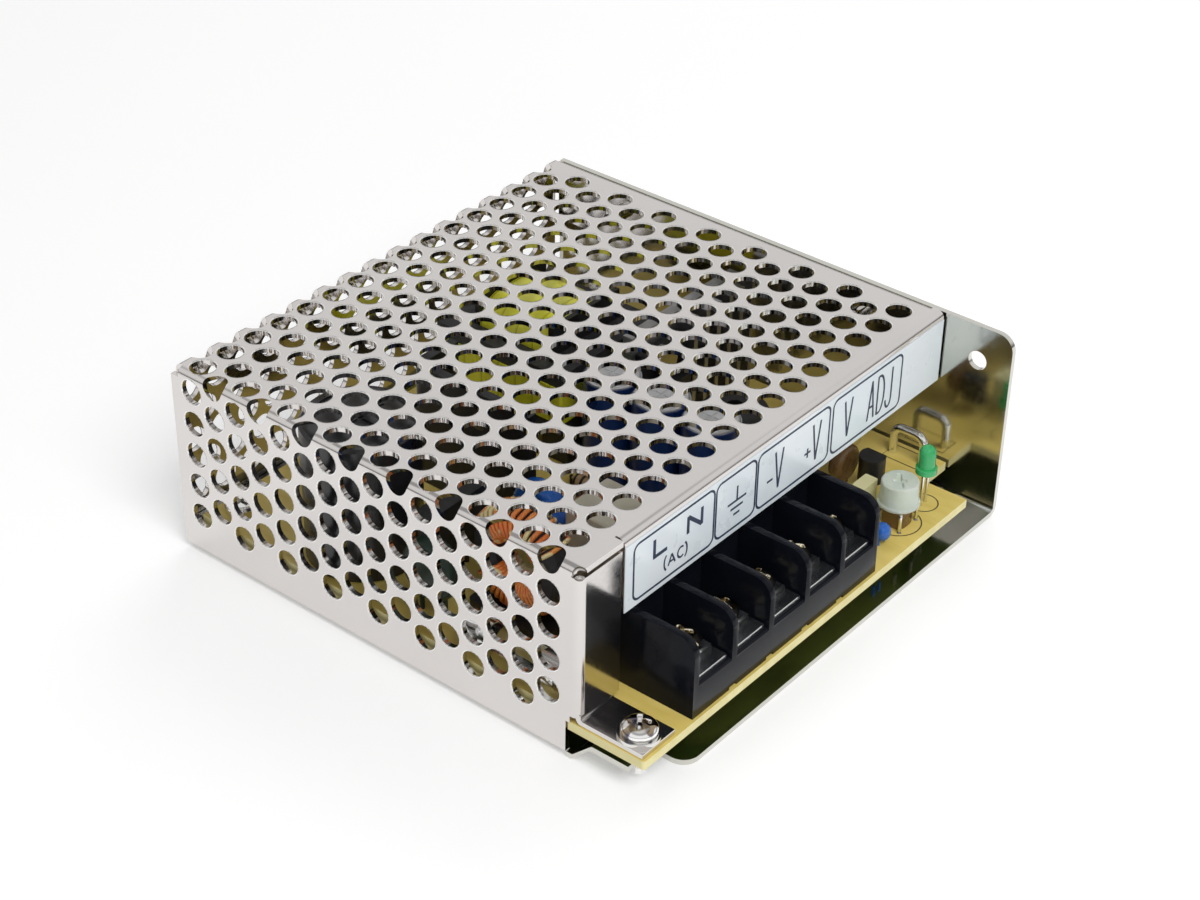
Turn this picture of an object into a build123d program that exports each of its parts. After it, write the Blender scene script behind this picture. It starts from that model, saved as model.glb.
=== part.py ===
"""Mesh case switching power supply: folded chassis, perforated cover, board and parts.

Units are millimetres, +Z up.  The terminals face -Y and the chassis wall is at +X.
The origin is the centre of the case's footprint, at its bottom face.
"""
from build123d import *
import math
import os

os.makedirs("parts", exist_ok=True)

# Case
case_w = 97.0
case_l = 99.0
case_h = 36.0
sheet = 1.0
bend_out = 1.4
bend_in = 0.4
cover_setback = 13.4
flange_lift = 1.2
right_flange_h = 12.0
relief = 1.7

# Perforation of the cover
hole_r = 2.25
pitch_x = 6.06
pitch_y = 5.0
cols = 16
rows_top = 15
rows_side = 5
rows_back = 5
first_col = 4.6
row_inset = 0.12
side_inset = 0.47
back_inset = 0.5

# Front of the cover
lip_drop = 13.5
lip_left = 10.2
tab_w = 7.7
tab_reach = 11.8
tab_level = 8.0
screw_in = 3.9
screw_back = 5.1

# Chassis
wall_drop = 0.4
chassis_bend = 1.8
tongue_w = 7.6
tongue_rise = 3.6
slit = 1.8
corner_r = 3.0
m3 = 1.5

# Circuit board
board_t = 1.6
board_top = 7.0
board_gap = 0.5
notch_w = 8.7
notch_l = 8.8
solder_z = 3.6

# Terminal block
bays = 5
bay_pitch = 9.5
barrier = 1.3
block_d = 16.0
block_h = 14.5
ledge_h = 6.0
back_wall = 2.6
barrier_r = 3.2
contact_t = 0.8
plate_t = 1.0
plate_w = 6.6
gap = 0.05
screw_r = 1.75
head_r = 3.05
head_h = 2.4
screw_len = 6.0

# Parts that stand on the board
bead_d = 3.0
trim_w = 6.8
led_d = 3.7
bulk_r = 9.8
can_headroom = 2.5
oc_r = 5.0
oc_h = 20.5
heatsink_gap = 1.2
heatsink_end = 4.5
coil_headroom = 3.5

# Edges that other dimensions follow
x_l = -case_w / 2
x_r = case_w / 2
y_f = -case_l / 2
y_b = case_l / 2
y_c = y_f + cover_setback
x_in = x_r - sheet
y_top = case_h - sheet
block_l = x_l + 12.5
block_w = bays * bay_pitch + barrier
block_r = block_l + block_w
block_f = y_f + 1.6
block_b = block_f + block_d
floor_z = board_top + ledge_h
board_low = board_top - board_t
board_f = y_f + 1.1
board_r = x_in - board_gap
front_r = board_r - notch_w + 1.5
tab_x = x_l + screw_in
tab_y = y_c - tab_reach + screw_back - 1.8
leads = []


def pick(items, points):
    """The vertices nearest to the given points."""
    return [min(items, key=lambda v: (v.center() - Vector(*p)).length) for p in points]


# Chassis: one folded sheet, the bottom, the wall and a joggled tongue for the board
with BuildPart() as chassis:
    with BuildSketch(Plane.XZ.offset(-(y_b - sheet - 0.15))) as section:
        Polygon(
            (x_l + sheet + 0.1, 0), (x_r, 0), (x_r, case_h - wall_drop),
            (x_in, case_h - wall_drop), (x_in, sheet), (x_l + sheet + 0.1, sheet), align=None)
        fillet(pick(section.vertices(), [(x_r, 0, 0)]), chassis_bend)
        fillet(pick(section.vertices(), [(x_in, sheet, 0)]), chassis_bend - sheet)
    extrude(amount=case_l - sheet - 0.15)
    with BuildSketch(Plane.YZ.offset(x_l + sheet + 1.0)) as back_lip:
        lip_y = y_b - sheet - 0.15
        Polygon(
            (lip_y - 4, 0), (lip_y, 0), (lip_y, 6), (lip_y - sheet, 6),
            (lip_y - sheet, sheet), (lip_y - 4, sheet), align=None)
        fillet(pick(back_lip.vertices(), [(lip_y, 0, 0)]), bend_out)
        fillet(pick(back_lip.vertices(), [(lip_y - sheet, sheet, 0)]), bend_in)
    extrude(amount=case_w - 2 * sheet - 4.0)
    with BuildSketch(Plane.XY) as back_edge:
        with Locations((x_l + sheet + 1.0 + (case_w - 2 * sheet - 4.0) / 2, lip_y)):
            Rectangle(case_w - 2 * sheet - 4.0, 2 * bend_out)
    extrude(amount=sheet, mode=Mode.SUBTRACT)
    with BuildSketch(Plane.YZ.offset(x_l + sheet + 1.0)) as back_bend:
        Polygon(
            (lip_y - 4, 0), (lip_y, 0), (lip_y, 6), (lip_y - sheet, 6),
            (lip_y - sheet, sheet), (lip_y - 4, sheet), align=None)
        fillet(pick(back_bend.vertices(), [(lip_y, 0, 0)]), bend_out)
        fillet(pick(back_bend.vertices(), [(lip_y - sheet, sheet, 0)]), bend_in)
    extrude(amount=case_w - 2 * sheet - 4.0)
    # Front-left corner of the bottom, cut away beside the tongue
    with BuildSketch(Plane.XY.offset(-1)) as corner:
        Polygon(
            (x_l - 1, y_f - 1), (x_l + tongue_w + slit, y_f - 1),
            (x_l + tongue_w + slit, y_c + 1.8), (x_l - 1, y_c + 1.8), align=None)
    extrude(amount=sheet + 2, mode=Mode.SUBTRACT)
    fillet(chassis.edges().filter_by(Axis.Z).filter_by_position(
        Axis.Y, y_f - 0.1, y_f + 0.1).filter_by_position(
        Axis.X, x_l + 5, x_l + tongue_w + slit + 0.1), corner_r)
    fillet(chassis.edges().filter_by(Axis.X).filter_by_position(
        Axis.Y, y_f - 0.1, y_f + 0.1).filter_by_position(
        Axis.Z, case_h - wall_drop - 0.1, case_h), corner_r)
    # Tongue: low at its root, ramped up to just under the board
    with BuildSketch(Plane.YZ.offset(x_l + 0.2)) as tongue:
        Polygon(
            (y_c + 5.0, 0), (y_c + 1.6, 0), (y_c - 2.0, tongue_rise), (y_f + 4.0, tongue_rise),
            (y_f + 4.0, tongue_rise + sheet), (y_c - 2.4, tongue_rise + sheet),
            (y_c + 1.3, sheet), (y_c + 5.0, sheet), align=None)
        fillet(pick(tongue.vertices(), [
            (y_c + 1.6, 0, 0), (y_c - 2.0, tongue_rise, 0),
            (y_c - 2.4, tongue_rise + sheet, 0), (y_c + 1.3, sheet, 0)]), 0.8)
    extrude(amount=tongue_w)
    with BuildSketch(Plane.XY.offset(-1)) as under_flange:
        with Locations((x_l, y_c + 5.0)):
            Rectangle(2 * sheet + 0.2, 5.0)
    extrude(amount=sheet + 2, mode=Mode.SUBTRACT)
    # Drawn collar that the cover's screw threads into
    with BuildSketch(Plane.XY.offset(tongue_rise + sheet)) as collar:
        with Locations((tab_x, tab_y)):
            Circle(2.4)
    extrude(amount=board_low - tongue_rise - sheet)
    with BuildSketch(Plane.XY.offset(tongue_rise - 1)) as collar_bore:
        with Locations((tab_x, tab_y)):
            Circle(m3 + 0.02)
    extrude(amount=4, mode=Mode.SUBTRACT)
    # Threaded fixing holes in the bottom
    fix_x = [x_l + 14.0, x_r - 14.0]
    fix_y = [y_f + 22.0, y_b - 22.0]
    with BuildSketch(Plane.XY.offset(-1)) as fixings:
        with Locations(*[(x, y) for x in fix_x for y in fix_y]):
            Circle(m3 + 0.1)
    extrude(amount=sheet + 2, mode=Mode.SUBTRACT)
    # Holes for the pressed-in stand-offs
    stand = [(x_l + 6.5, y_b - 7.0), (x_r - 6.5, y_b - 7.0), (x_r - 6.5, y_c + 14.0)]
    with BuildSketch(Plane.XY.offset(-1)) as studs:
        with Locations(*stand):
            Circle(1.9)
    extrude(amount=sheet + 2, mode=Mode.SUBTRACT)
    # Side fixing holes: one in front of the cover, one low at the back
    side_fix = [(y_f + 6.4, 29.0), (y_b - 6.4, 18.0)]
    with BuildSketch(Plane.YZ.offset(x_in - 1)) as side_holes:
        with Locations(*side_fix):
            Circle(1.75)
    extrude(amount=sheet + 2, mode=Mode.SUBTRACT)
    # Countersunk holes for the cover's side screws
    side_screw = [(y_c + 16.0, case_h - 6.0), (y_b - 16.0, case_h - 6.0)]
    for y, z in side_screw:
        with BuildSketch(Plane.XY.offset(z)) as sink:
            Polygon((x_in - 0.5, y), (x_r + 0.1, y), (x_r + 0.1, y + 2.75), (x_r, y + 2.65),
                    (x_in - 0.05, y + m3 + 0.1), (x_in - 0.5, y + m3 + 0.1), align=None)
        revolve(axis=Axis((0, y, z), (1, 0, 0)), mode=Mode.SUBTRACT)

# Cover: one folded, perforated sheet
flange_r = x_in - 0.02
with BuildPart() as mesh_cover:
    with BuildSketch(Plane.XZ.offset(-(y_b - relief))) as section:
        Polygon(
            (x_l, flange_lift), (x_l, case_h), (flange_r, case_h),
            (flange_r, case_h - right_flange_h), (flange_r - sheet, case_h - right_flange_h),
            (flange_r - sheet, y_top), (x_l + sheet, y_top), (x_l + sheet, flange_lift), align=None)
        fillet(pick(section.vertices(), [(x_l, case_h, 0), (flange_r, case_h, 0)]), bend_out)
        fillet(pick(section.vertices(), [(x_l + sheet, y_top, 0), (flange_r - sheet, y_top, 0)]), bend_in)
    extrude(amount=y_b - relief - (y_c + relief))
    # Left flange runs on to the back edge
    with BuildSketch(Plane.YZ.offset(x_l)) as flange_back:
        Polygon(
            (y_b - relief - 1, flange_lift), (y_b, flange_lift), (y_b, case_h - relief),
            (y_b - relief - 1, case_h - relief), align=None)
    extrude(amount=sheet)
    # Back flange with its bend
    with BuildSketch(Plane.YZ.offset(x_l + sheet + 0.2)) as back_flange:
        Polygon(
            (y_b - relief - 0.5, y_top), (y_b - sheet, y_top), (y_b - sheet, flange_lift),
            (y_b, flange_lift), (y_b, case_h), (y_b - relief - 0.5, case_h), align=None)
        fillet(pick(back_flange.vertices(), [(y_b, case_h, 0)]), bend_out)
        fillet(pick(back_flange.vertices(), [(y_b - sheet, y_top, 0)]), bend_in)
    extrude(amount=flange_r - sheet - 0.2 - (x_l + sheet + 0.2))
    # Front-left strip of the top
    with BuildSketch(Plane.XZ.offset(-(y_c + relief + 0.5))) as front_strip:
        Polygon(
            (x_l, case_h - bend_out), (x_l, case_h), (x_l + lip_left - 0.4, case_h),
            (x_l + lip_left - 0.4, y_top), (x_l + sheet, y_top),
            (x_l + sheet, case_h - bend_out), align=None)
        fillet(pick(front_strip.vertices(), [(x_l, case_h, 0)]), bend_out - 0.01)
        fillet(pick(front_strip.vertices(), [(x_l + sheet, y_top, 0)]), bend_in - 0.01)
    extrude(amount=relief + 0.5)
    # Label lip with its bend
    with BuildSketch(Plane.YZ.offset(x_l + lip_left)) as lip:
        Polygon(
            (y_c + relief + 0.5, case_h), (y_c, case_h), (y_c, case_h - lip_drop),
            (y_c + sheet, case_h - lip_drop), (y_c + sheet, y_top),
            (y_c + relief + 0.5, y_top), align=None)
        fillet(pick(lip.vertices(), [(y_c, case_h, 0)]), bend_out)
        fillet(pick(lip.vertices(), [(y_c + sheet, y_top, 0)]), bend_in)
    extrude(amount=flange_r - 0.4 - (x_l + lip_left))
    # Front-left upright flange, folded from the side's front edge
    with BuildSketch(Plane.XY.offset(tab_level + bend_in)) as upright:
        Polygon(
            (x_l, y_c + relief + 0.5), (x_l, y_c), (x_l + lip_left - 0.6, y_c),
            (x_l + lip_left - 0.6, y_c + sheet), (x_l + sheet, y_c + sheet),
            (x_l + sheet, y_c + relief + 0.5), align=None)
        fillet(pick(upright.vertices(), [(x_l, y_c, 0)]), bend_out)
        fillet(pick(upright.vertices(), [(x_l + sheet, y_c + sheet, 0)]), bend_in)
    extrude(amount=case_h - bend_out - 0.3 - tab_level - bend_in)
    # Screw tab, folded forward from the upright's lower edge
    with BuildSketch(Plane.YZ.offset(x_l + 0.5)) as tab:
        Polygon(
            (y_c + sheet, tab_level + bend_in + 0.5), (y_c + sheet, tab_level - sheet),
            (y_c - tab_reach, tab_level - sheet), (y_c - tab_reach, tab_level),
            (y_c, tab_level), (y_c, tab_level + bend_in + 0.5), align=None)
        fillet(pick(tab.vertices(), [(y_c + sheet, tab_level - sheet, 0)]), bend_out)
        fillet(pick(tab.vertices(), [(y_c, tab_level, 0)]), bend_in)
    extrude(amount=tab_w)
    with BuildSketch(Plane.XY.offset(tab_level - 2)) as tab_hole:
        with Locations((tab_x, tab_y)):
            Circle(m3 + 0.1)
    extrude(amount=3, mode=Mode.SUBTRACT)
    # Round relief at the front-left top corner
    with Locations((x_l + 0.5, y_c + 0.5, case_h - 0.9)):
        Sphere(1.15, mode=Mode.SUBTRACT)
    # Notch at the foot of the side flange, over the tongue
    with BuildSketch(Plane.YZ.offset(x_l - 1)) as notch:
        Polygon((y_c - 1, 0), (y_c + 2.5, 0), (y_c + 2.5, 7.1), (y_c - 1, 7.1), align=None)
    extrude(amount=sheet + 1, mode=Mode.SUBTRACT)
    # Round holes of the top, in staggered columns
    top_cols = [y_b - first_col - pitch_y * c for c in range(cols)]
    with BuildSketch(Plane.XY.offset(case_h + 1)) as top_holes:
        for c, y in enumerate(top_cols):
            shift = 0.5 if c % 2 == 0 else 1.0
            with Locations(*[(x_l - row_inset + pitch_x * (j + shift), y) for j in range(rows_top)]):
                Circle(hole_r)
    extrude(amount=-sheet - 2, mode=Mode.SUBTRACT)
    # The same grid carried down the side flange
    with BuildSketch(Plane.YZ.offset(x_l - 1)) as side_grid:
        for c, y in enumerate(top_cols):
            shift = 0.5 if c % 2 == 0 else 1.0
            count = rows_side if c % 2 == 0 else rows_side - 1
            with Locations(*[(y, case_h - side_inset - pitch_x * (j + shift)) for j in range(count)]):
                Circle(hole_r)
    extrude(amount=sheet + 2, mode=Mode.SUBTRACT)
    # And down the back flange
    with BuildSketch(Plane.XZ.offset(-(y_b + 1))) as back_grid:
        for k in range(1, rows_back + 1):
            shift = 0.5 if k % 2 == 1 else 1.0
            with Locations(*[(x_l - row_inset + pitch_x * (j + shift), case_h - back_inset - pitch_y * k)
                             for j in range(rows_top)]):
                Circle(hole_r)
    extrude(amount=sheet + 2, mode=Mode.SUBTRACT)
    # Holes that the folds run through, cut square to each fold
    with BuildSketch(Plane(origin=(x_l, 0, case_h), x_dir=(0, 1, 0), z_dir=(-1, 0, 1))) as side_fold:
        with Locations(*[(y, 0) for c, y in enumerate(top_cols) if c % 2 == 1]):
            Ellipse(hole_r, hole_r * 0.93)
    extrude(amount=4, both=True, mode=Mode.SUBTRACT)
    with BuildSketch(Plane(origin=(0, y_b, case_h), x_dir=(1, 0, 0), z_dir=(0, 1, 1))) as back_fold:
        with Locations(*[(x_l - row_inset + pitch_x * (j + 1), 0) for j in range(rows_top)]):
            Ellipse(hole_r, hole_r * 0.93)
    extrude(amount=4, both=True, mode=Mode.SUBTRACT)
    # Pilot holes for the side screws
    with BuildSketch(Plane.YZ.offset(x_in - 3)) as pilots:
        with Locations(*side_screw):
            Circle(m3 + 0.02)
    extrude(amount=4, mode=Mode.SUBTRACT)

# Label: a thin plate stuck on the lip
label_t = 0.15
with BuildPart() as label_plate:
    with BuildSketch(Plane.XZ.offset(-y_c)) as outline:
        label_l = x_l + lip_left
        label_r = flange_r - 0.5
        label_top = case_h - bend_out - 0.1
        label_low = case_h - lip_drop + 0.1
        with Locations(((label_l + label_r) / 2, (label_top + label_low) / 2)):
            Rectangle(label_r - label_l, label_top - label_low)
    extrude(amount=label_t)

# Side screws: countersunk, through the wall into the cover's flange
with BuildPart() as side_screws:
    for y, z in side_screw:
        with BuildSketch(Plane.XY.offset(z)) as csk:
            Polygon((x_in - 4.0, y), (x_r - 0.05, y), (x_r - 0.05, y + 2.5),
                    (x_in, y + m3), (x_in - 3.6, y + m3), (x_in - 4.0, y + m3 - 0.4), align=None)
        revolve(axis=Axis((0, y, z), (1, 0, 0)))
    for y, z in side_screw:
        with BuildSketch(Plane.YZ.offset(x_r + 0.5)) as cross:
            with Locations((y, z)):
                Rectangle(2.8, 0.7)
                Rectangle(0.7, 2.8)
        extrude(amount=-1.5, mode=Mode.SUBTRACT)

# Screw on the tab, with its washer
washer_t = 0.6
with BuildPart() as tab_screw:
    with BuildSketch(Plane.XZ) as profile:
        head_z = tab_level + washer_t
        Polygon((0, head_z - 7.4), (m3 - 0.3, head_z - 7.4), (m3 - 0.02, head_z - 7.1), (m3 - 0.02, head_z),
                (2.9, head_z), (2.9, head_z + 1.2), (2.3, head_z + 1.85), (1.3, head_z + 2.15),
                (0, head_z + 2.2), align=None)
    revolve(axis=Axis.Z)
    with BuildSketch(Plane.XY.offset(tab_level + washer_t + 2.5)) as cross:
        Rectangle(3.6, 0.8)
        Rectangle(0.8, 3.6)
    extrude(amount=-1.5, mode=Mode.SUBTRACT)
tab_screw.part.position = (tab_x, tab_y, 0)

with BuildPart() as tab_washer:
    with BuildSketch(Plane.XY.offset(tab_level)) as ring:
        with Locations((tab_x, tab_y)):
            Circle(3.4)
            Circle(m3 + 0.1, mode=Mode.SUBTRACT)
    extrude(amount=washer_t)

# Stand-offs pressed into the bottom, and the screws that hold the board
with BuildPart() as board_standoffs:
    with BuildSketch(Plane.XY) as spigot:
        with Locations(*stand):
            Circle(1.9)
    extrude(amount=sheet)
    with BuildSketch(Plane.XY.offset(sheet)) as barrel:
        with Locations(*stand):
            RegularPolygon(2.8, 6)
    extrude(amount=board_low - sheet)
    with BuildSketch(Plane.XY.offset(0.6)) as thread:
        with Locations(*stand):
            Circle(m3 + 0.02)
    extrude(amount=board_low, mode=Mode.SUBTRACT)

with BuildPart() as board_screws:
    with BuildSketch(Plane.XY.offset(board_top)) as heads:
        with Locations(*stand):
            Circle(2.75)
    extrude(amount=1.9)
    fillet(board_screws.edges().filter_by_position(Axis.Z, board_top + 1.85, board_top + 1.95), 0.8)
    with BuildSketch(Plane.XY.offset(board_top - 5.0)) as shanks:
        with Locations(*stand):
            Circle(m3)
    extrude(amount=5.0)
    with BuildSketch(Plane.XY.offset(board_top + 2)) as cross:
        with Locations(*stand):
            Rectangle(3.2, 0.7)
            Rectangle(0.7, 3.2)
    extrude(amount=-1.2, mode=Mode.SUBTRACT)

# Insulation film under the board
with BuildPart() as insulation_sheet:
    with BuildSketch(Plane.XY.offset(sheet)) as film:
        with Locations(((x_l + x_r) / 2, 6.0)):
            Rectangle(case_w - 9.0, case_l - 32.0)
        fillet(film.vertices(), 3.0)
        with Locations(*[(x, y) for x in fix_x for y in fix_y]):
            Circle(4.5, mode=Mode.SUBTRACT)
        with Locations(*stand):
            Circle(4.0, mode=Mode.SUBTRACT)
    extrude(amount=0.25)

# Terminal block housing: base, raised back and six barriers
bay_x = [block_l + barrier / 2 + bay_pitch * (i + 0.5) for i in range(bays)]
screw_y = block_f + 6.6
with BuildPart() as terminal_housing:
    with BuildSketch(Plane.YZ.offset(block_l)) as base:
        Polygon(
            (block_f, board_top), (block_b, board_top), (block_b, board_top + block_h),
            (block_b - back_wall, board_top + block_h), (block_b - back_wall, floor_z),
            (block_f, floor_z), align=None)
        fillet(pick(base.vertices(), [(block_f, floor_z, 0)]), 0.5)
        fillet(pick(base.vertices(), [(block_b, board_top + block_h, 0)]), 1.0)
    extrude(amount=block_w)
    with BuildSketch(Plane.YZ.offset(block_l)) as fin:
        Polygon(
            (block_f, board_top), (block_b - 0.5, board_top), (block_b - 0.5, board_top + block_h),
            (block_f, board_top + block_h), align=None)
        fillet(pick(fin.vertices(), [(block_f, board_top + block_h, 0)]), barrier_r)
    extrude(amount=barrier)
    for i in range(1, bays + 1):
        with BuildSketch(Plane.YZ.offset(block_l + bay_pitch * i)) as fin:
            Polygon(
                (block_f, board_top), (block_b - 0.5, board_top), (block_b - 0.5, board_top + block_h),
                (block_f, board_top + block_h), align=None)
            fillet(pick(fin.vertices(), [(block_f, board_top + block_h, 0)]), barrier_r)
        extrude(amount=barrier)
    # Wells for the screws and their threaded collars
    with BuildSketch(Plane.XY.offset(board_top + 1.2)) as wells:
        with Locations(*[(x, screw_y) for x in bay_x]):
            Circle(2.8)
    extrude(amount=block_h, mode=Mode.SUBTRACT)
    # Slots for the soldering pins
    with BuildSketch(Plane.XY.offset(board_top - 1)) as slots:
        with Locations(*[(x, block_b - back_wall - 0.5) for x in bay_x]):
            Rectangle(3.1, 1.0)
    extrude(amount=ledge_h + 1, mode=Mode.SUBTRACT)
    # Drain notches under each barrier
    with BuildSketch(Plane.XZ.offset(-block_f)) as feet:
        with Locations(*[(block_l + barrier / 2 + bay_pitch * i, board_top) for i in range(1, bays)]):
            Rectangle(1.8, 1.0)
    extrude(amount=-1.2, mode=Mode.SUBTRACT)

with BuildPart() as terminal_contacts:
    for x in bay_x:
        with BuildSketch(Plane.XY.offset(floor_z)) as strip:
            with Locations((x, (block_f + 0.7 + block_b - back_wall) / 2)):
                Rectangle(7.4, block_b - back_wall - block_f - 0.7)
        extrude(amount=contact_t)
        with BuildSketch(Plane.XY.offset(floor_z - 1.1)) as collars:
            with Locations((x, screw_y)):
                Circle(2.5)
        extrude(amount=1.1)
        with BuildSketch(Plane.XY.offset(solder_z)) as pins:
            with Locations((x, block_b - back_wall - 0.45)):
                Rectangle(2.6, 0.8)
        extrude(amount=floor_z - solder_z)
    with BuildSketch(Plane.XY.offset(floor_z - 2)) as threads:
        with Locations(*[(x, screw_y) for x in bay_x]):
            Circle(screw_r + gap)
    extrude(amount=4, mode=Mode.SUBTRACT)
pin_slots = [(x, block_b - back_wall - 0.45) for x in bay_x]

# Five clamp plates and five screws, each pair captive
plate_z = floor_z + contact_t + gap
screw_z = plate_z + plate_t + gap
for i, x in enumerate(bay_x):
    with BuildPart() as clamp_plate:
        with BuildSketch(Plane.XY.offset(plate_z)) as square:
            with Locations((x, screw_y)):
                Rectangle(plate_w, plate_w)
        extrude(amount=plate_t)
        chamfer(clamp_plate.edges().filter_by_position(
            Axis.Z, plate_z + plate_t - 0.01, plate_z + plate_t + 0.01), 0.25)
        with BuildSketch(Plane.XY.offset(plate_z - 1)) as bore:
            with Locations((x, screw_y)):
                Circle(screw_r + 0.1)
        extrude(amount=3, mode=Mode.SUBTRACT)
    clamp_plate.part.label = f"clamp_plate_{i + 1}"
    export_step(clamp_plate.part, f"parts/clamp_plate_{i + 1}.step")
    with BuildPart() as terminal_screw:
        with BuildSketch(Plane.XY.offset(screw_z)) as head:
            with Locations((x, screw_y)):
                Circle(head_r)
        extrude(amount=head_h)
        fillet(terminal_screw.edges().filter_by_position(
            Axis.Z, screw_z + head_h - 0.01, screw_z + head_h + 0.01), 0.9)
        with BuildSketch(Plane.XY.offset(screw_z - screw_len)) as shank:
            with Locations((x, screw_y)):
                Circle(screw_r)
        extrude(amount=screw_len)
        with BuildSketch(Plane.XY.offset(screw_z + head_h + 0.1)) as drive:
            with Locations((x, screw_y)):
                Rectangle(2 * head_r + 0.2, 0.9)
                Rectangle(0.9, 3.8)
        extrude(amount=-1.2, mode=Mode.SUBTRACT)
    terminal_screw.part.label = f"terminal_screw_{i + 1}"
    export_step(terminal_screw.part, f"parts/terminal_screw_{i + 1}.step")

# The bead, trimmer and lamp share the spare room from the block to the board's notch
spare = front_r - block_r - bead_d - trim_w - led_d
bead_x = block_r + spare * 0.42 + bead_d / 2
trim_x = bead_x + bead_d / 2 + spare * 0.14 + trim_w / 2
led_x = trim_x + trim_w / 2 + spare * 0.16 + led_d / 2

# Trimmer: base, turning knob and three pins
trim_y = y_f + 6.7
with BuildPart() as trimmer_base:
    with BuildSketch(Plane.XY.offset(board_top)) as body:
        with Locations((trim_x, trim_y)):
            Rectangle(trim_w, trim_w)
        fillet(body.vertices(), 1.8)
    extrude(amount=3.8)
    with BuildSketch(Plane.XY.offset(board_top + 0.8)) as bore:
        with Locations((trim_x, trim_y)):
            Circle(1.36)
    extrude(amount=4, mode=Mode.SUBTRACT)

with BuildPart() as trimmer_knob:
    with BuildSketch(Plane.XY.offset(board_top + 3.9)) as rim:
        with Locations((trim_x, trim_y)):
            Circle(trim_w / 2 - 0.05)
    extrude(amount=0.6)
    with BuildSketch(Plane.XY.offset(board_top + 4.5)) as drum:
        with Locations((trim_x, trim_y)):
            Circle(trim_w / 2 - 0.3)
    extrude(amount=3.9)
    fillet(trimmer_knob.edges().filter_by_position(
        Axis.Z, board_top + 8.39, board_top + 8.41), 0.4)
    with BuildSketch(Plane.XY.offset(board_top + 1.0)) as shaft:
        with Locations((trim_x, trim_y)):
            Circle(1.3)
    extrude(amount=3.0)
    with BuildSketch(Plane.XY.offset(board_top + 7.7)) as slot:
        with Locations((trim_x, trim_y)):
            Rectangle(4.2, 0.8, rotation=40)
            Rectangle(0.8, 2.4, rotation=40)
    extrude(amount=2, mode=Mode.SUBTRACT)

trim_pins = [(trim_x - 2.5, trim_y - 2.2), (trim_x + 2.5, trim_y - 2.2), (trim_x, trim_y + 2.5)]
with BuildPart() as trimmer_pins:
    with BuildSketch(Plane.XY.offset(solder_z)) as pins:
        with Locations(*trim_pins):
            Circle(0.35)
    extrude(amount=board_top - solder_z)
leads += [(x, y, 0.35) for x, y in trim_pins]

# Indicator lamp on long legs
led_y = y_f + 6.3
led_z = board_top + 6.4
with BuildPart() as led_lens:
    with BuildSketch(Plane.XY.offset(led_z)) as flange:
        with Locations((led_x, led_y)):
            Circle(led_d / 2)
        with Locations((led_x + led_d / 2 + 0.2, led_y)):
            Rectangle(1, 4, mode=Mode.SUBTRACT)
    extrude(amount=1.0)
    with BuildSketch(Plane.XY.offset(led_z + 1.0)) as body:
        with Locations((led_x, led_y)):
            Circle(led_d / 2 - 0.4)
    extrude(amount=2.8)
    with Locations((led_x, led_y, led_z + 3.8)):
        Sphere(led_d / 2 - 0.4)

led_pins = [(led_x - 0.75, led_y), (led_x + 0.75, led_y)]
with BuildPart() as led_leads:
    with BuildSketch(Plane.XY.offset(solder_z)) as wires:
        with Locations(*led_pins):
            Circle(0.28)
    extrude(amount=led_z - solder_z)
leads += [(x, y, 0.28) for x, y in led_pins]

# Small transistor
reg_x = trim_x + 4.4
reg_y = y_c + 1.7
reg_pins = [(reg_x - 0.4, reg_y + d) for d in (-1.27, 0, 1.27)]
with BuildPart() as small_transistor:
    with BuildSketch(Plane.XY.offset(board_top + 2.6)) as shape:
        with Locations((reg_x, reg_y)):
            Circle(2.3)
        with Locations((reg_x + 2.5, reg_y)):
            Rectangle(2.2, 6, mode=Mode.SUBTRACT)
    extrude(amount=4.8)
with BuildPart() as small_transistor_leads:
    with BuildSketch(Plane.XY.offset(solder_z)) as wires:
        with Locations(*reg_pins):
            Circle(0.25)
    extrude(amount=board_top + 2.6 - solder_z)
leads += [(x, y, 0.25) for x, y in reg_pins]

# Film capacitor beside the block
film_x = trim_x - 1.6
film_y = y_c - 0.9
with BuildPart() as film_capacitor:
    with BuildSketch(Plane.XY.offset(board_top + 0.3)) as body:
        with Locations((film_x, film_y)):
            Rectangle(4.2, 2.5)
        fillet(body.vertices(), 0.3)
    extrude(amount=6.0)
    with BuildSketch(Plane.XY.offset(solder_z)) as wires:
        with Locations((film_x - 1.3, film_y), (film_x + 1.3, film_y)):
            Circle(0.3)
    extrude(amount=board_top + 0.3 - solder_z)
leads += [(film_x - 1.3, film_y, 0.3), (film_x + 1.3, film_y, 0.3)]

# Wire link that stands over the board
link_x = x_r - 4.6
with BuildPart() as wire_link:
    with BuildLine() as path:
        FilletPolyline(
            (link_x, y_c + 5.4, solder_z), (link_x, y_c + 5.4, board_top + 5.0),
            (link_x, y_c - 0.6, board_top + 5.0), (link_x, y_c - 0.6, solder_z), radius=1.2)
    with BuildSketch(Plane.XY.offset(solder_z)) as wire:
        with Locations((link_x, y_c + 5.4)):
            Circle(0.5)
    sweep()
leads += [(link_x, y_c + 5.4, 0.5), (link_x, y_c - 0.6, 0.5)]

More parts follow.
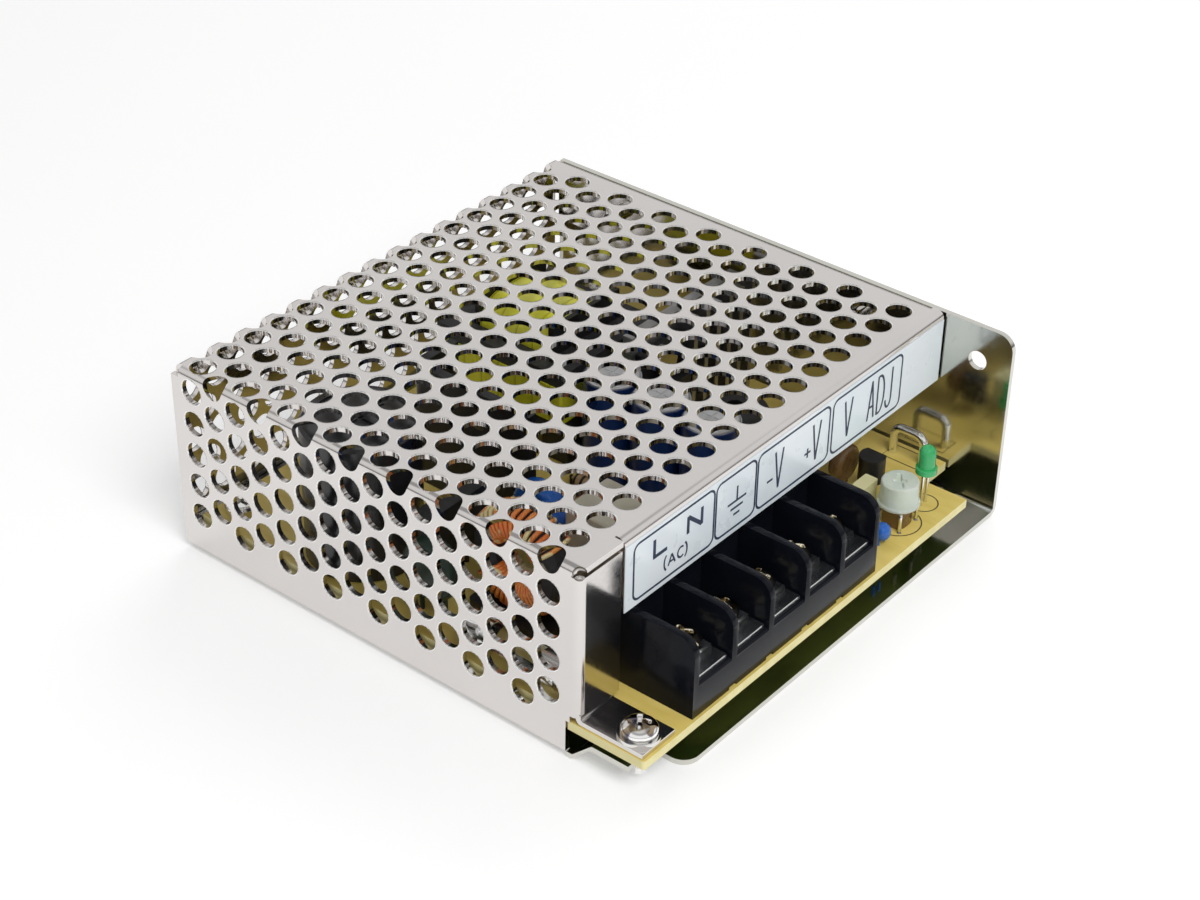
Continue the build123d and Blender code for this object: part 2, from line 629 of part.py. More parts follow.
# Disc capacitors: tan near the lamp, two blue ones by the choke
with BuildPart() as tan_capacitor:
    tan_x = trim_x + 2.3
    tan_y = y_c + 6.0
    with BuildSketch(Plane.XZ.offset(-(tan_y + 1.3))) as disc:
        with Locations((tan_x, board_top + 5.2)):
            Circle(3.4)
    extrude(amount=2.6)
    fillet(tan_capacitor.edges().filter_by(GeomType.CIRCLE), 0.9)
    with BuildSketch(Plane.XY.offset(solder_z)) as wires:
        with Locations((tan_x - 1.27, tan_y), (tan_x + 1.27, tan_y)):
            Circle(0.3)
    extrude(amount=board_top + 3.0 - solder_z)
leads += [(tan_x - 1.27, tan_y, 0.3), (tan_x + 1.27, tan_y, 0.3)]

with BuildPart() as bead_capacitor:
    bead_y = y_f + 5.3
    with BuildSketch(Plane.XY.offset(board_top + 0.8)) as bead:
        with Locations((bead_x, bead_y)):
            Circle(bead_d / 2)
    extrude(amount=3.0)
    fillet(bead_capacitor.edges().filter_by(GeomType.CIRCLE), 1.3)
    with BuildSketch(Plane.XY.offset(solder_z)) as wires:
        with Locations((bead_x - 0.8, bead_y), (bead_x + 0.8, bead_y)):
            Circle(0.25)
    extrude(amount=board_top + 1.5 - solder_z)
leads += [(bead_x - 0.8, bead_y, 0.25), (bead_x + 0.8, bead_y, 0.25)]

blue = [(x_l + 25.5, y_f + 40.6), (x_l + 29.5, y_f + 46.0)]
with BuildPart() as blue_capacitors:
    for x, y in blue:
        with BuildSketch(Plane.YZ.offset(x - 1.9)) as disc:
            with Locations((y, board_top + 9.5)):
                Circle(5.0)
        extrude(amount=3.8)
    fillet(blue_capacitors.edges().filter_by(GeomType.CIRCLE), 1.4)
    with BuildSketch(Plane.XY.offset(solder_z)) as wires:
        with Locations(*[(x, y + d) for x, y in blue for d in (-2.5, 2.5)]):
            Circle(0.35)
    extrude(amount=board_top + 6.5 - solder_z)
leads += [(x, y + d, 0.35) for x, y in blue for d in (-2.5, 2.5)]

# Bulk capacitor: can in a sleeve
bulk_x = x_l + 12.4
bulk_y = y_b - 30.0
bulk_h = y_top - can_headroom - board_top
with BuildPart() as bulk_capacitor_can:
    with BuildSketch(Plane.XY.offset(board_top + 0.2)) as base:
        with Locations((bulk_x, bulk_y)):
            Circle(bulk_r - 0.3)
    extrude(amount=bulk_h - 0.4)
    can_top = board_top + bulk_h - 0.2
    fillet(bulk_capacitor_can.edges().filter_by_position(Axis.Z, can_top - 0.01, can_top + 0.01), 0.7)
    with BuildSketch(Plane.XY.offset(can_top + 0.1)) as vent:
        with Locations((bulk_x, bulk_y)):
            Rectangle(11, 0.5)
            Rectangle(0.5, 11)
    extrude(amount=-0.3, mode=Mode.SUBTRACT)
    with BuildSketch(Plane.XY.offset(solder_z)) as wires:
        with Locations((bulk_x, bulk_y - 5), (bulk_x, bulk_y + 5)):
            Circle(0.5)
    extrude(amount=board_top + 0.2 - solder_z)
leads += [(bulk_x, bulk_y - 5, 0.5), (bulk_x, bulk_y + 5, 0.5)]

with BuildPart() as bulk_capacitor_sleeve:
    with BuildSketch(Plane.XZ) as wall:
        Polygon((bulk_r - 0.3, board_top + 0.2), (bulk_r, board_top + 0.2), (bulk_r, can_top - 0.3),
                (bulk_r - 0.5, can_top + 0.25), (bulk_r - 1.8, can_top + 0.25), (bulk_r - 1.8, can_top),
                (bulk_r - 0.3, can_top), align=None)
    revolve(axis=Axis.Z)
bulk_capacitor_sleeve.part.position = (bulk_x, bulk_y, 0)

# Transformer: bobbin, taped winding, two core halves and a tape band
tr_x = x_l + 63.0
tr_y = y_b - 26.0
core_w = 26.0
core_l = 28.0
core_gap = 0.1
core_z = 14.0
core_t = 12.0
leg_w = 8.0
yoke = 5.0
outer = 3.8
win_l = core_l - 2 * yoke
with BuildPart() as transformer_core:
    for s in (-1, 1):
        y_mid = tr_y + s * core_gap / 2
        y_win = tr_y + s * win_l / 2
        y_end = tr_y + s * core_l / 2
        with BuildSketch(Plane.XY.offset(core_z)) as half:
            Polygon(
                (tr_x - core_w / 2, y_mid), (tr_x - core_w / 2, y_end), (tr_x + core_w / 2, y_end),
                (tr_x + core_w / 2, y_mid), (tr_x + core_w / 2 - outer, y_mid),
                (tr_x + core_w / 2 - outer, y_win), (tr_x + leg_w / 2, y_win),
                (tr_x + leg_w / 2, y_mid), (tr_x - leg_w / 2, y_mid), (tr_x - leg_w / 2, y_win),
                (tr_x - core_w / 2 + outer, y_win), (tr_x - core_w / 2 + outer, y_mid), align=None)
        extrude(amount=core_t)

wind_z = core_z + core_t / 2
cheek_h = 2 * (y_top - coil_headroom - wind_z)
tr_pins = [(tr_x - 8 + 4 * i, tr_y + s * (core_l / 2 - 1.6)) for i in range(5) for s in (-1, 1)]
with BuildPart() as transformer_bobbin:
    with BuildSketch(Plane.XZ.offset(-(tr_y + win_l / 2 - 0.2))) as tube:
        with Locations((tr_x, wind_z)):
            Rectangle(leg_w + 2.4, core_t + 2.4)
    extrude(amount=win_l - 0.4)
    for s in (-1, 1):
        y_out = tr_y + s * (win_l / 2 - 0.2)
        with BuildSketch(Plane.XZ.offset(-max(y_out, y_out - s * 1.0))) as cheek:
            with Locations((tr_x, wind_z)):
                Rectangle(core_w - 2 * outer - 0.5, cheek_h)
        extrude(amount=1.0)
        with BuildSketch(Plane.XY.offset(board_top + 0.1)) as rail:
            with Locations((tr_x, tr_y + s * (core_l / 2 - 2.9))):
                Rectangle(core_w - 4, 5.6)
        extrude(amount=core_z - board_top - 0.15)
    with BuildSketch(Plane.XZ.offset(-(tr_y + core_l))) as window:
        with Locations((tr_x, wind_z)):
            Rectangle(leg_w + 0.2, core_t + 0.2)
    extrude(amount=2 * core_l, mode=Mode.SUBTRACT)
    with BuildSketch(Plane.XY.offset(solder_z)) as wires:
        with Locations(*tr_pins):
            Circle(0.4)
    extrude(amount=board_top + 0.2 - solder_z)

leads += [(x, y, 0.4) for x, y in tr_pins]

with BuildPart() as transformer_winding:
    with BuildSketch(Plane.XZ.offset(-(tr_y + win_l / 2 - 1.3))) as coil:
        with Locations((tr_x, wind_z)):
            RectangleRounded(core_w - 2 * outer - 0.7, cheek_h - 1.4, 5.0)
            Rectangle(leg_w + 2.4, core_t + 2.4, mode=Mode.SUBTRACT)
    extrude(amount=win_l - 2.6)

with BuildPart() as transformer_tape:
    with BuildSketch(Plane.XY.offset(core_z + 2.5)) as band:
        with Locations((tr_x, tr_y)):
            RectangleRounded(core_w + 0.6, core_l + 0.6, 0.6)
            Rectangle(core_w, core_l, mode=Mode.SUBTRACT)
    extrude(amount=core_t - 5.0)

# Common-mode choke: ring core standing on a base, with two windings
ch_x = x_l + 15.0
ch_y = y_f + 37.0
ch_z = board_top + 12.0
ring_r = 6.6
core_d = 5.0
core_r = 4.4
wire_d = 1.2
with BuildPart() as choke_core:
    with BuildSketch(Plane.XY) as ring:
        with Locations((0, ring_r)):
            Rectangle(core_d, core_r)
        chamfer(ring.vertices(), 0.8)
    revolve(axis=Axis.X)
choke_core.part.position = (ch_x, ch_y, ch_z)

with BuildPart() as choke_windings:
    with BuildSketch(Plane.XY) as coil:
        with Locations((0, ring_r)):
            Rectangle(core_d + 2 * wire_d, core_r + 2 * wire_d)
        chamfer(coil.vertices(), 1.5)
    revolve(axis=Axis.X)
    with BuildSketch(Plane.XY) as core_room:
        with Locations((0, ring_r)):
            Rectangle(core_d, core_r)
        chamfer(core_room.vertices(), 0.8)
    revolve(axis=Axis.X, mode=Mode.SUBTRACT)
    with BuildSketch(Plane.YZ.offset(-6)) as gaps:
        Rectangle(5.2, 30)
    extrude(amount=12, mode=Mode.SUBTRACT)
choke_windings.part.position = (ch_x, ch_y, ch_z)

ch_pins = [(ch_x + a, ch_y + b) for a in (-3, 3) for b in (-6.5, 6.5)]
with BuildPart() as choke_base:
    with BuildSketch(Plane.XY.offset(board_top)) as plate:
        with Locations((ch_x, ch_y)):
            RectangleRounded(9.0, 16.0, 1.0)
    extrude(amount=2.6)
    with BuildSketch(Plane.YZ.offset(ch_x - 6)) as cradle:
        with Locations((ch_y, ch_z)):
            Circle(ring_r + 3.4)
    extrude(amount=12, mode=Mode.SUBTRACT)
    with BuildSketch(Plane.XY.offset(solder_z)) as wires:
        with Locations(*ch_pins):
            Circle(0.4)
    extrude(amount=board_top + 0.3 - solder_z)
leads += [(x, y, 0.4) for x, y in ch_pins]

# Filter capacitor in a box case
xc_x = x_l + 27.0
xc_y = block_b + 9.2
with BuildPart() as filter_capacitor:
    with BuildSketch(Plane.XY.offset(board_top + 0.2)) as body:
        with Locations((xc_x, xc_y)):
            Rectangle(10.5, 15.5)
        fillet(body.vertices(), 0.6)
    extrude(amount=19.0)
    fillet(filter_capacitor.edges().filter_by_position(Axis.Z, board_top + 19.1, board_top + 19.3), 0.5)
    with BuildSketch(Plane.XY.offset(solder_z)) as wires:
        with Locations((xc_x, xc_y - 5), (xc_x, xc_y + 5)):
            Circle(0.4)
    extrude(amount=board_top + 0.2 - solder_z)
leads += [(xc_x, xc_y - 5, 0.4), (xc_x, xc_y + 5, 0.4)]

# Fuse in its clips
fz_x = x_l + 4.6
fz_y = y_f + 29.0
fz_z = board_top + 4.2
with BuildPart() as fuse_glass:
    with BuildSketch(Plane.XZ.offset(-(fz_y + 6.0))) as tube:
        with Locations((fz_x, fz_z)):
            Circle(2.3)
    extrude(amount=12.0)
with BuildPart() as fuse_caps:
    for s in (-1, 1):
        with BuildSketch(Plane.XZ.offset(-(fz_y + s * 7.5 + 2.5))) as cap:
            with Locations((fz_x, fz_z)):
                Circle(2.5)
        extrude(amount=5.0)
    with BuildSketch(Plane.XZ.offset(-(fz_y + 6.0))) as bore:
        with Locations((fz_x, fz_z)):
            Circle(2.3)
    extrude(amount=12.0, mode=Mode.SUBTRACT)
with BuildPart() as fuse_clips:
    for s in (-1, 1):
        with BuildSketch(Plane.XZ.offset(-(fz_y + s * 7.5 + 1.6))) as clip:
            with Locations((fz_x, fz_z)):
                Circle(3.0)
                Circle(2.5, mode=Mode.SUBTRACT)
            with Locations((fz_x, fz_z + 3.0)):
                Rectangle(3.0, 3.6, mode=Mode.SUBTRACT)
            with Locations((fz_x, (board_top + fz_z - 2.6) / 2)):
                Rectangle(2.4, fz_z - 2.6 - board_top)
        extrude(amount=3.2)

# Thermistor disc and bridge rectifier
nt_x = x_l + 6.6
nt_y = y_f + 48.5
with BuildPart() as thermistor:
    with BuildSketch(Plane.YZ.offset(nt_x - 2.0)) as disc:
        with Locations((nt_y, board_top + 9.0)):
            Circle(5.4)
    extrude(amount=4.0)
    fillet(thermistor.edges().filter_by(GeomType.CIRCLE), 1.2)
    with BuildSketch(Plane.XY.offset(solder_z)) as wires:
        with Locations((nt_x, nt_y - 2.5), (nt_x, nt_y + 2.5)):
            Circle(0.4)
    extrude(amount=board_top + 5.5 - solder_z)
leads += [(nt_x, nt_y - 2.5, 0.4), (nt_x, nt_y + 2.5, 0.4)]

br_x = x_l + 18.5
br_y = y_f + 54.0
with BuildPart() as bridge_rectifier:
    with BuildSketch(Plane.XZ.offset(-(br_y + 1.8))) as body:
        with Locations((br_x, board_top + 9.0)):
            Rectangle(14.5, 11.0)
        chamfer(pick(body.vertices(), [(br_x + 7.25, board_top + 14.5, 0)]), 1.8)
    extrude(amount=3.6)
    with BuildSketch(Plane.XY.offset(solder_z)) as wires:
        with Locations(*[(br_x - 5.7 + 3.8 * i, br_y) for i in range(4)]):
            Circle(0.45)
    extrude(amount=board_top + 3.5 - solder_z)
leads += [(br_x - 5.7 + 3.8 * i, br_y, 0.45) for i in range(4)]

# Primary heatsink: a bent plate, with the switching transistor screwed to it
hp_x = x_l + 32.5
hp_y = y_f + 51.0
with BuildPart() as primary_heatsink:
    with BuildSketch(Plane.XY.offset(board_top)) as angle:
        Polygon(
            (hp_x, hp_y), (hp_x, hp_y + 26), (hp_x + 10, hp_y + 26), (hp_x + 10, hp_y + 24.2),
            (hp_x + 1.8, hp_y + 24.2), (hp_x + 1.8, hp_y), align=None)
        fillet(pick(angle.vertices(), [(hp_x, hp_y + 26, 0)]), 2.4)
        fillet(pick(angle.vertices(), [(hp_x + 1.8, hp_y + 24.2, 0)]), 0.6)
    extrude(amount=23.0)
    with BuildSketch(Plane.YZ.offset(hp_x - 1)) as hole:
        with Locations((hp_y + 11, board_top + 17.5)):
            Circle(m3 + 0.02)
    extrude(amount=4, mode=Mode.SUBTRACT)

with BuildPart() as switching_transistor:
    with BuildSketch(Plane.YZ.offset(hp_x + 1.8)) as tab:
        with Locations((hp_y + 11, board_top + 12.4)):
            Rectangle(10.0, 15.4)
    extrude(amount=1.3)
    with BuildSketch(Plane.YZ.offset(hp_x + 3.1)) as body:
        with Locations((hp_y + 11, board_top + 9.2)):
            Rectangle(10.0, 9.0)
    extrude(amount=3.2)
    with BuildSketch(Plane.YZ.offset(hp_x + 1.7)) as hole:
        with Locations((hp_y + 11, board_top + 17.5)):
            Circle(m3 + 0.1)
    extrude(amount=2, mode=Mode.SUBTRACT)
    with BuildSketch(Plane.XY.offset(solder_z)) as wires:
        with Locations(*[(hp_x + 3.9, hp_y + 11 + 2.54 * i) for i in (-1, 0, 1)]):
            Rectangle(0.6, 0.8)
    extrude(amount=board_top + 5.0 - solder_z)
square_leads = [(hp_x + 3.9, hp_y + 11 + 2.54 * i) for i in (-1, 0, 1)]

# Secondary heatsink: a finned extrusion, with the output rectifier screwed to it
oc_x = x_l + 55.3
hs_x = oc_x + oc_r + heatsink_gap
hs_y = y_f + 53.0
hs_w = x_in - heatsink_end - hs_x
hs_h = 23.5
fins = 6
with BuildPart() as secondary_heatsink:
    with BuildSketch(Plane.XY.offset(board_top)) as comb:
        with Locations((hs_x + hs_w / 2, hs_y + 1.0)):
            Rectangle(hs_w, 2.0)
        with Locations(*[(hs_x + 13.0 + i * (hs_w - 13.6) / (fins - 1), hs_y - 1.8) for i in range(fins)]):
            Rectangle(1.0, 4.0)
    extrude(amount=hs_h)
    with BuildSketch(Plane.XZ.offset(-(hs_y + 3))) as hole:
        with Locations((hs_x + 6, board_top + 17.5)):
            Circle(m3 + 0.02)
    extrude(amount=4, mode=Mode.SUBTRACT)

with BuildPart() as output_rectifier:
    with BuildSketch(Plane.XZ.offset(-hs_y)) as tab:
        with Locations((hs_x + 6, board_top + 12.4)):
            Rectangle(10.0, 15.4)
    extrude(amount=1.3)
    with BuildSketch(Plane.XZ.offset(-hs_y + 1.3)) as body:
        with Locations((hs_x + 6, board_top + 9.2)):
            Rectangle(10.0, 9.0)
    extrude(amount=3.2)
    with BuildSketch(Plane.XZ.offset(-hs_y - 0.1)) as hole:
        with Locations((hs_x + 6, board_top + 17.5)):
            Circle(m3 + 0.1)
    extrude(amount=2, mode=Mode.SUBTRACT)
    with BuildSketch(Plane.XY.offset(solder_z)) as wires:
        with Locations(*[(hs_x + 6 + 2.54 * i, hs_y - 2.1) for i in (-1, 0, 1)]):
            Rectangle(0.8, 0.6)
    extrude(amount=board_top + 5.0 - solder_z)
flat_leads = [(hs_x + 6 + 2.54 * i, hs_y - 2.1) for i in (-1, 0, 1)]

with BuildPart() as heatsink_screws:
    with BuildSketch(Plane.XZ.offset(-(hs_y - 1.3))) as head:
        with Locations((hs_x + 6, board_top + 17.5)):
            Circle(2.7)
    extrude(amount=1.9)
    with BuildSketch(Plane.XZ.offset(-(hs_y + 2.0))) as shank:
        with Locations((hs_x + 6, board_top + 17.5)):
            Circle(m3)
    extrude(amount=3.3)
    with BuildSketch(Plane.YZ.offset(hp_x + 3.1)) as head:
        with Locations((hp_y + 11, board_top + 17.5)):
            Circle(2.7)
    extrude(amount=1.9)
    with BuildSketch(Plane.YZ.offset(hp_x)) as shank:
        with Locations((hp_y + 11, board_top + 17.5)):
            Circle(m3)
    extrude(amount=3.1)

# Output capacitors: three cans in sleeves
oc = [(oc_x, y_f + 52.2), (oc_x, y_f + 41.8), (oc_x, y_f + 31.4)]
oc_top = board_top + oc_h - 0.2
with BuildPart() as output_capacitor_cans:
    with BuildSketch(Plane.XY.offset(board_top + 0.2)) as bases:
        with Locations(*oc):
            Circle(oc_r - 0.2)
    extrude(amount=oc_h - 0.4)
    fillet(output_capacitor_cans.edges().filter_by_position(Axis.Z, oc_top - 0.01, oc_top + 0.01), 0.6)
    with BuildSketch(Plane.XY.offset(oc_top + 0.1)) as vents:
        with Locations(*oc):
            Rectangle(5.6, 0.4)
            Rectangle(0.4, 5.6)
    extrude(amount=-0.25, mode=Mode.SUBTRACT)
    with BuildSketch(Plane.XY.offset(solder_z)) as wires:
        with Locations(*[(x, y + d) for x, y in oc for d in (-2.5, 2.5)]):
            Circle(0.35)
    extrude(amount=board_top + 0.2 - solder_z)
leads += [(x, y + d, 0.35) for x, y in oc for d in (-2.5, 2.5)]
with BuildPart() as output_capacitor_sleeves:
    with BuildSketch(Plane.XY.offset(board_top + 0.2)) as tubes:
        with Locations(*oc):
            Circle(oc_r)
            Circle(oc_r - 0.2, mode=Mode.SUBTRACT)
    extrude(amount=oc_h - 1.0)

# Output inductor: a drum under heat-shrink
in_x = oc_x + 13.0
in_y = y_f + 36.0
with BuildPart() as output_inductor:
    with BuildSketch(Plane.XY.offset(board_top + 0.2)) as drum:
        with Locations((in_x, in_y)):
            Circle(6.0)
    extrude(amount=14.0)
    fillet(output_inductor.edges().filter_by(GeomType.CIRCLE).filter_by_position(
        Axis.Z, board_top + 14.1, board_top + 14.3), 1.5)
    with BuildSketch(Plane.XY.offset(board_top + 5)) as core_hole:
        with Locations((in_x, in_y)):
            Circle(1.6)
    extrude(amount=12, mode=Mode.SUBTRACT)
    with BuildSketch(Plane.XY.offset(solder_z)) as wires:
        with Locations((in_x - 4, in_y), (in_x + 4, in_y)):
            Circle(0.5)
    extrude(amount=board_top + 0.2 - solder_z)
leads += [(in_x - 4, in_y, 0.5), (in_x + 4, in_y, 0.5)]

# Control chip, optocoupler and resistors
ic_x = oc_x - 13.5
ic_y = y_f + 32.0
ic_pins = [(ic_x + s * 3.81, ic_y - 3.81 + 2.54 * i) for i in range(4) for s in (-1, 1)]
with BuildPart() as control_chip:
    with BuildSketch(Plane.XY.offset(board_top + 0.6)) as body:
        with Locations((ic_x, ic_y)):
            Rectangle(6.4, 9.4)
    extrude(amount=3.3)
    with BuildSketch(Plane.XY.offset(board_top + 3.2)) as mark:
        with Locations((ic_x, ic_y + 4.7)):
            Circle(0.8)
    extrude(amount=1, mode=Mode.SUBTRACT)
    for s in (-1, 1):
        with BuildSketch(Plane.XY.offset(board_top + 2.0)) as shoulder:
            with Locations(*[(ic_x + s * 3.6, ic_y - 3.81 + 2.54 * i) for i in range(4)]):
                Rectangle(0.82, 1.1)
        extrude(amount=0.3)
    with BuildSketch(Plane.XY.offset(solder_z)) as wires:
        with Locations(*ic_pins):
            Rectangle(0.4, 0.5)
    extrude(amount=board_top + 2.2 - solder_z)

op_x = ic_x
op_y = ic_y + 10.5
op_pins = [(op_x + s * 3.81, op_y - 1.27 + 2.54 * i) for i in range(2) for s in (-1, 1)]
with BuildPart() as optocoupler:
    with BuildSketch(Plane.XY.offset(board_top + 0.6)) as body:
        with Locations((op_x, op_y)):
            Rectangle(6.4, 4.6)
    extrude(amount=3.4)
    for s in (-1, 1):
        with BuildSketch(Plane.XY.offset(board_top + 2.0)) as shoulder:
            with Locations(*[(op_x + s * 3.6, op_y - 1.27 + 2.54 * i) for i in range(2)]):
                Rectangle(0.82, 1.1)
        extrude(amount=0.3)
    with BuildSketch(Plane.XY.offset(solder_z)) as wires:
        with Locations(*op_pins):
            Rectangle(0.4, 0.5)
    extrude(amount=board_top + 2.2 - solder_z)

rs = [(ic_x - 2.0 + 4.2 * i, ic_y + 18.5) for i in range(3)]
with BuildPart() as resistors:
    for x, y in rs:
        with BuildSketch(Plane.XZ.offset(-(y + 3.2))) as body:
            with Locations((x, board_top + 1.6)):
                Circle(1.2)
        extrude(amount=6.4)
    with BuildSketch(Plane.XY.offset(solder_z)) as wires:
        with Locations(*[(x, y + d) for x, y in rs for d in (-4.5, 4.5)]):
            Circle(0.3)
    extrude(amount=board_top + 1.9 - solder_z)
    for x, y in rs:
        with BuildSketch(Plane.XZ.offset(-(y + 4.7))) as wire:
            with Locations((x, board_top + 1.6)):
                Circle(0.3)
        extrude(amount=9.4)
leads += [(x, y + d, 0.3) for x, y in rs for d in (-4.5, 4.5)]

# Circuit board, with a hole for every lead
with BuildPart() as circuit_board:
    with BuildSketch(Plane.XY.offset(board_low)) as outline:
        board_x = x_l + sheet + board_gap
        Polygon(
            (x_l + 0.3, board_f), (front_r, board_f),
            (front_r, board_f + notch_l), (board_r, board_f + notch_l),
            (board_r, y_b - sheet - 2.0), (board_x, y_b - sheet - 2.0),
            (board_x, y_c + 2.3), (x_l + 0.3, y_c + 2.3), align=None)
        fillet(pick(outline.vertices(), [(x_l + 0.3, board_f, 0)]), 0.6)
        with Locations((tab_x, tab_y), *stand):
            Circle(m3 + 0.15, mode=Mode.SUBTRACT)
        with Locations(*pin_slots):
            Rectangle(2.7, 0.9, mode=Mode.SUBTRACT)
        with Locations(*square_leads):
            Rectangle(0.7, 0.9, mode=Mode.SUBTRACT)
        with Locations(*flat_leads):
            Rectangle(0.9, 0.7, mode=Mode.SUBTRACT)
        with Locations(*ic_pins, *op_pins):
            Rectangle(0.5, 0.6, mode=Mode.SUBTRACT)
        for x, y, r in leads:
            with Locations((x, y)):
                Circle(r + 0.05, mode=Mode.SUBTRACT)
    extrude(amount=board_t)

chassis.part.label = "chassis"
mesh_cover.part.label = "mesh_cover"
label_plate.part.label = "label_plate"
side_screws.part.label = "side_screws"
tab_screw.part.label = "tab_screw"
tab_washer.part.label = "tab_washer"
board_standoffs.part.label = "board_standoffs"
board_screws.part.label = "board_screws"
insulation_sheet.part.label = "insulation_sheet"
circuit_board.part.label = "circuit_board"
terminal_housing.part.label = "terminal_housing"
terminal_contacts.part.label = "terminal_contacts"
trimmer_base.part.label = "trimmer_base"
trimmer_knob.part.label = "trimmer_knob"
trimmer_pins.part.label = "trimmer_pins"
led_lens.part.label = "led_lens"
led_leads.part.label = "led_leads"
small_transistor.part.label = "small_transistor"
small_transistor_leads.part.label = "small_transistor_leads"
film_capacitor.part.label = "film_capacitor"
wire_link.part.label = "wire_link"
tan_capacitor.part.label = "tan_capacitor"
bead_capacitor.part.label = "bead_capacitor"
blue_capacitors.part.label = "blue_capacitors"
bulk_capacitor_can.part.label = "bulk_capacitor_can"
bulk_capacitor_sleeve.part.label = "bulk_capacitor_sleeve"
transformer_core.part.label = "transformer_core"
transformer_bobbin.part.label = "transformer_bobbin"
transformer_winding.part.label = "transformer_winding"
transformer_tape.part.label = "transformer_tape"
choke_core.part.label = "choke_core"
choke_windings.part.label = "choke_windings"
choke_base.part.label = "choke_base"
filter_capacitor.part.label = "filter_capacitor"
fuse_glass.part.label = "fuse_glass"
fuse_caps.part.label = "fuse_caps"
fuse_clips.part.label = "fuse_clips"
thermistor.part.label = "thermistor"
bridge_rectifier.part.label = "bridge_rectifier"
primary_heatsink.part.label = "primary_heatsink"
switching_transistor.part.label = "switching_transistor"
secondary_heatsink.part.label = "secondary_heatsink"
output_rectifier.part.label = "output_rectifier"
heatsink_screws.part.label = "heatsink_screws"
output_capacitor_cans.part.label = "output_capacitor_cans"
output_capacitor_sleeves.part.label = "output_capacitor_sleeves"
output_inductor.part.label = "output_inductor"
control_chip.part.label = "control_chip"
optocoupler.part.label = "optocoupler"
resistors.part.label = "resistors"

export_step(chassis.part, "parts/chassis.step")
export_step(mesh_cover.part, "parts/mesh_cover.step")
export_step(label_plate.part, "parts/label_plate.step")
export_step(side_screws.part, "parts/side_screws.step")
export_step(tab_screw.part, "parts/tab_screw.step")
export_step(tab_washer.part, "parts/tab_washer.step")
export_step(board_standoffs.part, "parts/board_standoffs.step")
export_step(board_screws.part, "parts/board_screws.step")
export_step(insulation_sheet.part, "parts/insulation_sheet.step")
export_step(circuit_board.part, "parts/circuit_board.step")
export_step(terminal_housing.part, "parts/terminal_housing.step")
export_step(terminal_contacts.part, "parts/terminal_contacts.step")
export_step(trimmer_base.part, "parts/trimmer_base.step")
export_step(trimmer_knob.part, "parts/trimmer_knob.step")
export_step(trimmer_pins.part, "parts/trimmer_pins.step")
export_step(led_lens.part, "parts/led_lens.step")
export_step(led_leads.part, "parts/led_leads.step")
export_step(small_transistor.part, "parts/small_transistor.step")
export_step(small_transistor_leads.part, "parts/small_transistor_leads.step")
export_step(film_capacitor.part, "parts/film_capacitor.step")
export_step(wire_link.part, "parts/wire_link.step")
export_step(tan_capacitor.part, "parts/tan_capacitor.step")
export_step(bead_capacitor.part, "parts/bead_capacitor.step")
export_step(blue_capacitors.part, "parts/blue_capacitors.step")
export_step(bulk_capacitor_can.part, "parts/bulk_capacitor_can.step")
export_step(bulk_capacitor_sleeve.part, "parts/bulk_capacitor_sleeve.step")
export_step(transformer_core.part, "parts/transformer_core.step")
export_step(transformer_bobbin.part, "parts/transformer_bobbin.step")
export_step(transformer_winding.part, "parts/transformer_winding.step")
export_step(transformer_tape.part, "parts/transformer_tape.step")
export_step(choke_core.part, "parts/choke_core.step")
export_step(choke_windings.part, "parts/choke_windings.step")
export_step(choke_base.part, "parts/choke_base.step")
export_step(filter_capacitor.part, "parts/filter_capacitor.step")
export_step(fuse_glass.part, "parts/fuse_glass.step")
export_step(fuse_caps.part, "parts/fuse_caps.step")
export_step(fuse_clips.part, "parts/fuse_clips.step")
export_step(thermistor.part, "parts/thermistor.step")
export_step(bridge_rectifier.part, "parts/bridge_rectifier.step")
export_step(primary_heatsink.part, "parts/primary_heatsink.step")
export_step(switching_transistor.part, "parts/switching_transistor.step")
export_step(secondary_heatsink.part, "parts/secondary_heatsink.step")
export_step(output_rectifier.part, "parts/output_rectifier.step")
export_step(heatsink_screws.part, "parts/heatsink_screws.step")
export_step(output_capacitor_cans.part, "parts/output_capacitor_cans.step")
export_step(output_capacitor_sleeves.part, "parts/output_capacitor_sleeves.step")
export_step(output_inductor.part, "parts/output_inductor.step")
export_step(control_chip.part, "parts/control_chip.step")
export_step(optocoupler.part, "parts/optocoupler.step")
export_step(resistors.part, "parts/resistors.step")
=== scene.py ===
"""Looks of a mesh case switching power supply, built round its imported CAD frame.

Lengths in this file are in millimetres until put_mesh turns them into metres.
"""
import math

import bmesh
import bpy
import numpy as np
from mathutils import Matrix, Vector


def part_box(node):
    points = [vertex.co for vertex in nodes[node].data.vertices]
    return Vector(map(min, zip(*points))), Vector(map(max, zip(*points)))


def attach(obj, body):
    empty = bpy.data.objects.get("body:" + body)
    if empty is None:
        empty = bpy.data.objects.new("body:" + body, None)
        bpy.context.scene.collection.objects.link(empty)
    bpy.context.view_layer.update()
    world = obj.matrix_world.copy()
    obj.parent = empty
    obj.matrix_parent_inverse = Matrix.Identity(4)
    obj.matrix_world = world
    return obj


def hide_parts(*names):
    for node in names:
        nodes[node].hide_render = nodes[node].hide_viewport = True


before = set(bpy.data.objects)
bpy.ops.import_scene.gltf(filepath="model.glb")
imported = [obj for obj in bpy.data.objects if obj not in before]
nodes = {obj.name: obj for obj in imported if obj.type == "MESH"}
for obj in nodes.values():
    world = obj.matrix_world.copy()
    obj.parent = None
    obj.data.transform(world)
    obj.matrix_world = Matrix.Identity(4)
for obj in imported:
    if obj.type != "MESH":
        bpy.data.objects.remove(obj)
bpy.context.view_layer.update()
MM = 0.001

